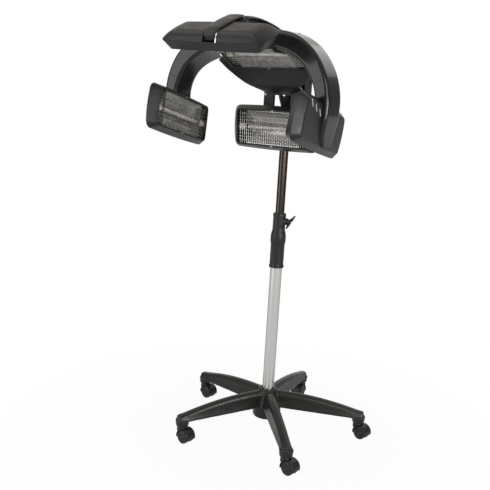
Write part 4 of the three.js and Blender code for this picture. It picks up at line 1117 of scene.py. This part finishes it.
def clamp_collar():
    """A sleeve with a rolled lip, a round shoulder with two rings and a split neck with a boss."""
    bore = lower_tube_radius + gap
    neck_bore = upper_tube_radius + running_gap
    lip = [(bore, 507.5), (21.6, 507.5), (22.3, 508.3), (22.3, 512), (21.6, 513.6), (20.9, 514.6)]
    sleeve = [(20.7, 517), (20.7, 545), (20.7, 572), (21.0, 577), (21.8, 582), (22.6, 586)]
    shoulder = [(22.8, 590), (22.8, 593), (22.2, 593.6), (22.2, 595), (22.8, 595.6), (22.8, 599), (22.5, 603),
                (21.8, 608), (20.7, 613), (19.5, 616.5), (18.7, 619)]
    neck = [(18.6, 630), (18.6, 655), (18.6, 659), (19.0, 659.6), (19.2, 661), (19.2, 667), (18.6, 669),
            (17.6, collar_top)]
    inside = [(neck_bore, collar_top), (neck_bore, collar_step), (bore, collar_step)]
    collar = turned([*lip, *sleeve, *shoulder, *neck, *inside], fine_sides, closed=True)
    placed(collar, shift(z=-lever_level))
    boss = x_rod(lever_boss_radius, lever_boss_start, lever_boss_reach, edge=1)
    room_half = 2 * lever_boss_radius
    tube_room = rod(neck_bore, (0, 0, -room_half), (0, 0, room_half), sides=fine_sides)
    collar = joined(collar, cut(boss, tube_room))
    stud_hole = x_rod(stud_radius + gap, 0, lever_boss_reach + past)
    split = block((split_from, -collar_split / 2, -split_foot), (split_to, collar_split / 2, split_head))
    return cut(collar, stud_hole, split)


def clamp_lever():
    """A hub on a stud, with two wings that sweep out to rounded tips."""
    stud = x_rod(stud_radius, upper_tube_radius + running_gap, lever_hub_start + past)
    hub = x_rod(lever_hub_radius, lever_hub_start, lever_hub_end, edge=1.2)
    rings = []
    for share in even_shares(wing_steps):
        middle, depth, thick = curve_point([*wing_stops, *wing_stops[-2::-1]], share)
        reach = mix(-wing_half, wing_half, share)
        corners = [(lever_hub_end + middle + out * depth / 2, reach, up * thick / 2)
                   for out, up in ((-1, -1), (1, -1), (1, 1), (-1, 1))]
        rings.append(rounded(corners, wing_corner, closed=True))
    return joined(stud, hub, placed(skin(rings), turn("X", wing_turn)))


lever_place = mast_place @ shift(z=lever_level)
screw = pan_screw((lever_hub_end + lever_screw_rise, 0, 0), (1, 0, 0), radius=3.2, height=1.4)
stand_in("clamp_collar", clamp_collar(), "satin_plastic", lever_place)
stand_in("clamp_lever", clamp_lever(), "satin_plastic", lever_place, edge=0.5)
make("lever_screw", screw, "steel", lever_place, "clamp_lever")

# Star base. The pairs are an arm's sizes at the hub and at its caster.
base_turn = 42
stem_circle = 282
base_tip_reach = 15
stem_seat = 46.7
stem_hole_radius = 6
stem_hole_depth = 23
arm_bottom = 61.7
arm_rise = 10
arm_foot_widths = (42, 37)
arm_ridge_widths = (30, 26)
arm_depths = (58, 20)
arm_depth_power = 2.2
arm_lip = 3
waist_share = 0.55
waist_hollow = 1.6
crown_share = 0.22
tip_level = 0.4
# Shares of the ridge's width and of the crown's drop, up to the top of an arm
ridge_stops = ((1, 1), (0.72, 0.25), (0.3, 0))
base_corner = 4
base_arm_steps = 30
base_arm_shares = (0.04, 0.92)
# Shares of the tip's reach and of the arm's width, where the tip rounds off
tip_stops = ((0.75, 0.995), (0.5, 0.97), (0.35, 0.93), (0.2, 0.86), (0.1, 0.78), (0, 0.62))
hub_top = 124.7
hub_floor = 44.7
hub_profile = [(0.5, 34.7), (36, 34.7), (40, 35.6), (42.4, 38), (43, 42), (43, 66), (42, 72), (39, 82),
               (35.5, 96), (33, 108), (31.4, 116), (30.2, 119.2), (28.6, 120.2), (27.6, 121.4), (27.2, 123.6),
               (26.4, hub_top), (0.5, hub_top)]
seat_profile = [(17.2, 0), (18.6, 1.4), (19.6, 10), (20.5, 20)]
base_voxel = 1.7
base_smoothing = 6
base_kept_faces = 0.35


def outwards(angle, radius, height=0):
    return Vector((radius * math.sin(angle), -radius * math.cos(angle), height))


def base_ring(angle, radius, spread=1.0):
    """Section of an arm: a flat foot, hollowed sides and a rounded ridge."""
    share = min(radius / stem_circle, 1)
    foot = spread * mix(*arm_foot_widths, share) / 2
    ridge = spread * mix(*arm_ridge_widths, share) / 2
    bottom = arm_bottom + arm_rise * (1 - share)
    top = arm_bottom + mix(*arm_depths, share ** arm_depth_power) * mix(tip_level, 1, spread)
    crown_drop = crown_share * (top - bottom)
    waist = mix(foot, ridge, waist_share) - waist_hollow * (1 - share)
    half = [(foot, bottom), (foot, bottom + arm_lip), (waist, mix(bottom, top - crown_drop, waist_share)),
            *((width * ridge, top - drop * crown_drop) for width, drop in ridge_stops)]
    section = half + [(-across, height) for across, height in reversed(half)]
    aside = Vector((math.cos(angle), math.sin(angle), 0))
    return [outwards(angle, radius, height) + across * aside
            for across, height in rounded(section, base_corner, closed=True, steps=3)]


def base_arm(angle):
    tip = stem_circle + base_tip_reach
    rings = [base_ring(angle, tip * mix(*base_arm_shares, share)) for share in even_shares(base_arm_steps)]
    rings += [base_ring(angle, tip - back * base_tip_reach, spread) for back, spread in tip_stops]
    return skin(rings)


def fused(mesh):
    """One skin round overlapping bodies, with its creases smoothed and its flat areas thinned out."""
    target = loose_object(mesh)
    modify(target, "REMESH", mode="VOXEL", voxel_size=base_voxel)
    modify(target, "SMOOTH", factor=0.5, iterations=base_smoothing)
    modify(target, "DECIMATE", ratio=base_kept_faces)
    return after_modifiers(target)


def star_base(angles):
    solids = [turned(hub_profile, fine_sides)]
    tools = [rod(lower_tube_radius + gap, (0, 0, hub_floor), (0, 0, hub_top + past), sides=fine_sides)]
    for angle in angles:
        seat = outwards(angle, stem_circle, stem_seat)
        solids += [base_arm(angle), placed(turned(seat_profile, sides=40), shift(*seat))]
        stem_top = seat + Vector((0, 0, stem_hole_depth))
        tools.append(rod(stem_hole_radius, seat - Vector((0, 0, past)), stem_top))
    return cut(fused(together(solids)), *tools)


caster_angles = [math.radians(base_turn + 72 * k) for k in range(5)]
stand_in("star_base", star_base(caster_angles), "nylon", mast_place, sharp=50)

# Casters, drawn with the stem on the Z axis and the axle trailing towards -Y
caster_trails = [80, 78, 0, 80, 80]
wheel_radius = 19.83
wheel_sides = 64
axle_radius = 4
axle_half = 5
hood_inner = 21.2
hood_outer = 23.4
hood_half_width = 17.5
hood_edge = 0.9
hood_roll = 2
hood_from, hood_to = -12, 192
hood_steps = 36
web_radius = 22.2
web_half = 3
web_foot = 10
boss_profile = [(13, 30), (15.4, 32), (15.6, 38), (14.6, 43), (12.6, 46.4), (5.5, 46.4), (5.5, 68),
                (4.8, 68.7)]
wheel_profile = [(1, 3.5), (4, 3.5), (17.5, 3.5), (19.3, 4), (wheel_radius, 5.2), (wheel_radius, 13.6),
                 (19.2, 15.6), (17.6, 16.9), (15.8, 17.3), (15.2, 16.6), (14.4, 15.6), (11.6, 15.2),
                 (11.2, 15.8), (9.6, 15.8), (9.2, 15.2), (7.2, 15), (6.6, 15.8), (6, 17), (4.4, 17.4),
                 (2, 17.5), (1, 17.5)]
axle = shift(0, -16, 20)


def caster_hood():
    """A round mudguard over both wheels, with a web between them, a boss and a stem."""
    half = [(hood_half_width, hood_inner), (hood_half_width, hood_outer - hood_edge),
            (hood_half_width - hood_roll, hood_outer)]
    corners = [(-hood_half_width, hood_inner), *half, *((-x, r) for x, r in half[:0:-1])]
    section = rounded(corners, hood_edge, closed=True, steps=2)
    angles = [math.radians(mix(hood_from, hood_to, share)) for share in even_shares(hood_steps)]
    arch = skin([[(x, r * math.cos(a), r * math.sin(a)) for x, r in section] for a in angles])
    below = block((-3 * web_half, -30, -30), (3 * web_half, 30, -web_foot))
    web = cut(x_rod(web_radius, -web_half, web_half, edge=0.5, sides=48), below)
    under_arch = x_rod(hood_inner + past, -hood_half_width, hood_half_width, sides=wheel_sides)
    boss = cut(turned(boss_profile, sides=48), placed(under_arch, axle))
    return joined(placed(arch, axle), placed(web, axle), boss)


def caster_wheels():
    """Two wheels with soft treads and dished faces with two rings, on one axle."""
    parts = [placed(turned(wheel_profile, wheel_sides), turn("Y", side * 90)) for side in (-1, 1)]
    return placed(together([*parts, x_rod(axle_radius, -axle_half, axle_half)]), axle)


for k, (angle, swing) in enumerate(zip(caster_angles, caster_trails), 1):
    place = mast_place @ shift(*outwards(angle, stem_circle)) @ turn("Z", swing)
    stand_in(f"caster_hood_{k}", caster_hood(), "nylon", place, edge=0.3, segments=2)
    stand_in(f"caster_wheels_{k}", caster_wheels(), "nylon", place)

# Controls, each drawn from its own place on the box's rear face, with +Y out of that face
control_width = 96
control_height = 114
control_depth = 46
control_back = 56.3
control_middle = 93
control_corner = 8
control_wall = 2.5
control_lip = 0.5
control_edge = [(-8, 0), (-4.5, 0.3), (-2, 1.2), (-0.6, 2.4), (0, 4)]
socket_room_radius = 27.3
socket_room_top = 65.3
knob_at = shift(-22, 0, 26)
switch_at = shift(24, 0, 26)
inlet_at = shift(0, 0, -30)
switch_hole = (15, 21)
inlet_hole = (28.6, 20.6)
hole_depth = 5
vent_count = 6
vent_size = (28, 2)
vent_from, vent_to = -20, -6
vent_x = 40
vent_top = 4
vent_pitch = 5
spindle_radius = 3
spindle_foot = 7.5
knob_profile = [(1, 0), (13.4, 0), (14, 0.6), (14, 4), (13.4, 4.8), (12, 5.4), (11.4, 6.2), (10.8, 12.6),
                (10, 13.6), (8, 14), (1, 14)]
flute_count = 16
flute_radius = 1.5
flute_circle = 12.4
flute_from, flute_to = 6.6, 18
mark_count = 11
mark_turn = 30
mark_first = 240
mark_start = 16
mark_end = 18.4
long_mark_end = 20
mark_half = 0.4
mark_sink = 0.2
mark_rise = 0.25
pointer_low = (-0.8, 13.9, 1)
pointer_high = (0.8, 15.2, 9.5)
rocker = [(-7, -7), (2, -10), (0, 0), (2, 10), (-7, 7)]
rocker_half = 7
rocker_round = 1.6
inlet_corner = 3
pin_size = (2, 5)
pin_from, pin_to = -16, -2
pin_places = [(-6, -1.5), (0, 1.5), (6, -1.5)]
box_screw_sink = 0.1
box_screw_x = 40
box_screw_z = 49


def control_ring(y, shrink):
    corner = max(control_corner - shrink, 2)
    return ring_at(bowed_outline(control_width - 2 * shrink, control_height - 2 * shrink, corner=corner), y)


def control_box():
    """A moulded box, open at the front, with a soft rear edge, holes for its controls and cooling slots."""
    front = [(-control_wall, control_wall), (-control_depth, control_wall), (-control_depth, control_lip),
             (control_lip - control_depth, 0)]
    shell = skin([control_ring(y, shrink) for y, shrink in front + control_edge])
    socket_foot = Vector((0, -control_back, -control_middle))
    socket_top = socket_foot + Vector((0, 0, socket_room_top))
    tools = [placed(rod(spindle_radius + gap, (0, -control_depth, 0), (0, past, 0)), knob_at),
             placed(slab(*switch_hole, -hole_depth, past), switch_at),
             placed(slab(*inlet_hole, -hole_depth, past), inlet_at),
             rod(socket_room_radius, socket_foot, socket_top, sides=fine_sides)]
    for k in range(vent_count):
        tools += [placed(slab(*vent_size, vent_from, vent_to), shift(x, 0, vent_top - vent_pitch * k))
                  for x in (-vent_x, vent_x)]
    return cut(shell, *tools)


def timer_knob():
    """A fluted knob on a skirt, with its spindle."""
    knob = placed(turned(knob_profile), shift(y=running_gap) @ turn("X", -90))
    flutes = []
    for k in range(flute_count):
        angle = 2 * math.pi * (k + 0.5) / flute_count
        x = flute_circle * math.cos(angle)
        z = flute_circle * math.sin(angle)
        flutes.append(rod(flute_radius, (x, flute_from, z), (x, flute_to, z), sides=12))
    return joined(cut(knob, *flutes), rod(spindle_radius, (0, -spindle_foot, 0), (0, 2, 0)))


def dial_marks():
    """A ring of raised marks round the knob, the first and last with a gap below."""
    marks = []
    for k in range(mark_count):
        end = mark_end if k % 5 else long_mark_end
        mark = block((mark_start, -mark_sink, -mark_half), (end, mark_rise, mark_half))
        marks.append(placed(mark, turn("Y", mark_turn * k - mark_first)))
    return together(marks)


def power_switch():
    return drawn_across(rounded(rocker, rocker_round, closed=True), -rocker_half, rocker_half)


def inlet_slab(width, height, start, end):
    return extruded(bowed_outline(width, height, corner=inlet_corner), start, end)


def power_inlet():
    flange = inlet_slab(width=34, height=26, start=gap, end=gap + 3)
    body = inlet_slab(width=28, height=20, start=-18, end=gap + 2.9)
    recess = inlet_slab(width=22, height=14, start=-15, end=5)
    return cut(joined(flange, body), recess)


box_place = head_place @ shift(0, control_back, control_middle)
knob_place = box_place @ knob_at
inlet_place = box_place @ inlet_at
pointer = block(pointer_low, pointer_high)
inlet_pins = [placed(slab(*pin_size, pin_from, pin_to), shift(x, 0, z)) for x, z in pin_places]
box_screws = [pan_screw((x, -box_screw_sink, z), (0, 1, 0), radius=2.4, height=1.2)
              for x in (-box_screw_x, box_screw_x) for z in (-box_screw_z, box_screw_z)]
stand_in("control_box", control_box(), "satin_plastic", box_place)
stand_in("timer_knob", timer_knob(), "gloss_plastic", knob_place, edge=0.3, segments=2)
soften(make("knob_pointer", pointer, "ceramic", knob_place, "timer_knob"), width=0.3, segments=2)
make("dial_marks", dial_marks(), "ceramic", knob_place, "control_box")
stand_in("power_switch", power_switch(), "gloss_plastic", box_place @ switch_at, edge=0.6)
stand_in("power_inlet", power_inlet(), "nylon", inlet_place, edge=0.5)
soften(make("inlet_pins", together(inlet_pins), "steel", inlet_place, "power_inlet"), width=0.4, segments=2)
make("control_box_screws", together(box_screws), "steel", box_place, "control_box")

# Pieces whose own solids need only softer edges
for node, look, width in (
    ("neck_bracket", "satin_plastic", 1.5), ("spine_beam", "nylon", 0.8),
    ("left_arm_pin", "steel", 0.5), ("right_arm_pin", "steel", 0.5), ("visor_pin", "tungsten", 0.5),
    ("guide_bush", "nylon", 0.5),
):
    dressed(node, look, width)
haunches = block((-arm_centre_x, bridge_front - past, 0),
                 (arm_centre_x, bridge_rear + past, arm_centre_z + arm_inner.y + root_lift))
dressed("arm_bridge", "gloss_plastic", 2, placed(haunches, head_place))

# Camera at the photograph's angle
image_side = 490
sensor_width = 36
focal_pixels = 714.2
camera_at = (1018.9, -1800.9, 1005.0)
camera_heading = 32.17
camera_pitch = 11.93
camera_roll = 3.30
camera_turns = turn("Z", camera_heading) @ turn("X", 90 - camera_pitch) @ turn("Z", camera_roll)
camera_data = bpy.data.cameras.new("camera")
settle(camera_data, sensor_width=sensor_width, lens=focal_pixels / image_side * sensor_width, clip_start=0.01)
camera = new_object("camera", camera_data)
camera.matrix_world = shift(*(mast_place @ Vector(camera_at))) @ camera_turns
bpy.context.scene.camera = camera

# Studio, in metres
ambient_level = 0.16
room_level = 0.25
ceiling_level = 0.8
ceiling_colour = (1.0, 0.93, 0.84)
ceiling_edge = (0.25, 0.6)
backdrop_way = (-0.49, 0.87, 0.0)
backdrop_edge = (0.6, 0.85)
floor_radius = 12
floor_roughness = 0.9
floor_colours = ((0.50, 0.50, 0.50), (0.52, 0.52, 0.52))
floor_cells = 40
floor_glow = 0.96
glow_edge = (0.3, 0.9)


def softbox(name, at, aim, width, height, power):
    data = bpy.data.lights.new(name, "AREA")
    settle(data, shape="RECTANGLE", size=width, size_y=height, energy=power)
    aimed = (Vector(aim) - Vector(at)).to_track_quat("-Z", "Y")
    return settle(new_object(name, data), location=at, rotation_mode="QUATERNION", rotation_quaternion=aimed,
                  visible_camera=False)


softbox("right_front", at=(2.1, -1.7, 1.3), aim=(0, -0.1, 0.9), width=1.9, height=1.7, power=54)
softbox("left_top", at=(-1.0, -1.3, 3.0), aim=(0, -0.1, 1.0), width=1.8, height=1.6, power=22)
softbox("left_front", at=(-1.5, -2.5, 1.0), aim=(0, -0.1, 0.9), width=1.8, height=2.0, power=44)
softbox("rear_top", at=(0.5, 2.3, 2.8), aim=(0, 0, 1.0), width=1.8, height=1.8, power=13)
strip = softbox("right_strip", at=(2.4, -0.55, 0.95), aim=(0, -0.2, 0.95), width=0.5, height=0.5, power=32)
strip.visible_diffuse = False


def rays(tree, *kinds):
    """One for rays of the kinds that are named, nothing for the rest."""
    path = add(tree, "LightPath")
    first, *rest = (path.outputs[f"Is {kind} Ray"] for kind in kinds)
    for other in rest:
        first = maths(tree, "MAXIMUM", first, other)
    return first


def white_world():
    """White behind the object for the camera, glass and metal. Gloss also sees a dim room, warm overhead."""
    world = bpy.data.worlds.new("studio")
    tree = node_tree(world)
    inputs = tree.nodes["Background"].inputs
    way = add(tree, "TexCoord").outputs["Generated"]
    overhead = ranged(tree, add(tree, "SeparateXYZ", {"Vector": way}).outputs["Z"], 0, 1, *ceiling_edge)
    backdrop = ranged(tree, dot_product(tree, way, backdrop_way), 0, 1, *backdrop_edge)
    room = mixed(tree, backdrop, mixed(tree, overhead, room_level, ceiling_level), 1.0)
    glossy = rays(tree, "Glossy")
    lit = mixed(tree, glossy, ambient_level, room)
    feed(tree, inputs["Strength"], mixed(tree, rays(tree, "Camera", "Transmission"), lit, 1.0))
    warmth = maths(tree, "MULTIPLY", overhead, glossy)
    feed(tree, inputs["Color"], mixed(tree, warmth, (1, 1, 1), ceiling_colour))
    bpy.context.scene.world = world


def pale_floor():
    """A floor that is white to the camera, metal and glass, and keeps a faint shadow round the base."""
    mesh = bmesh.new()
    bmesh.ops.create_circle(mesh, cap_ends=True, segments=64, radius=floor_radius)
    floor = loose_object(mesh, "floor")
    made = bpy.data.materials.new("pale_floor")
    tree = node_tree(made)
    shader = tree.nodes["Principled BSDF"]
    feed(tree, shader.inputs["Roughness"], floor_roughness)
    speckle = ranged(tree, noise_value(tree, floor_cells, detail=4), 0, 1)
    feed(tree, shader.inputs["Base Color"], mixed(tree, speckle, *floor_colours))
    place = add(tree, "TexCoord").outputs["Object"]
    distance = add(tree, "VectorMath", {0: place}, operation="LENGTH").outputs["Value"]
    glow = ranged(tree, distance, floor_glow, 1, *glow_edge)
    share = mixed(tree, rays(tree, "Camera", "Glossy", "Transmission"), 0.0, glow)
    light = add(tree, "Emission").outputs["Emission"]
    blend = add(tree, "MixShader", {"Fac": share, 1: shader.outputs["BSDF"], 2: light})
    feed(tree, tree.nodes["Material Output"].inputs["Surface"], blend.outputs["Shader"])
    floor.data.materials.append(made)


white_world()
pale_floor()
bpy.context.scene.view_settings.view_transform = "Standard"
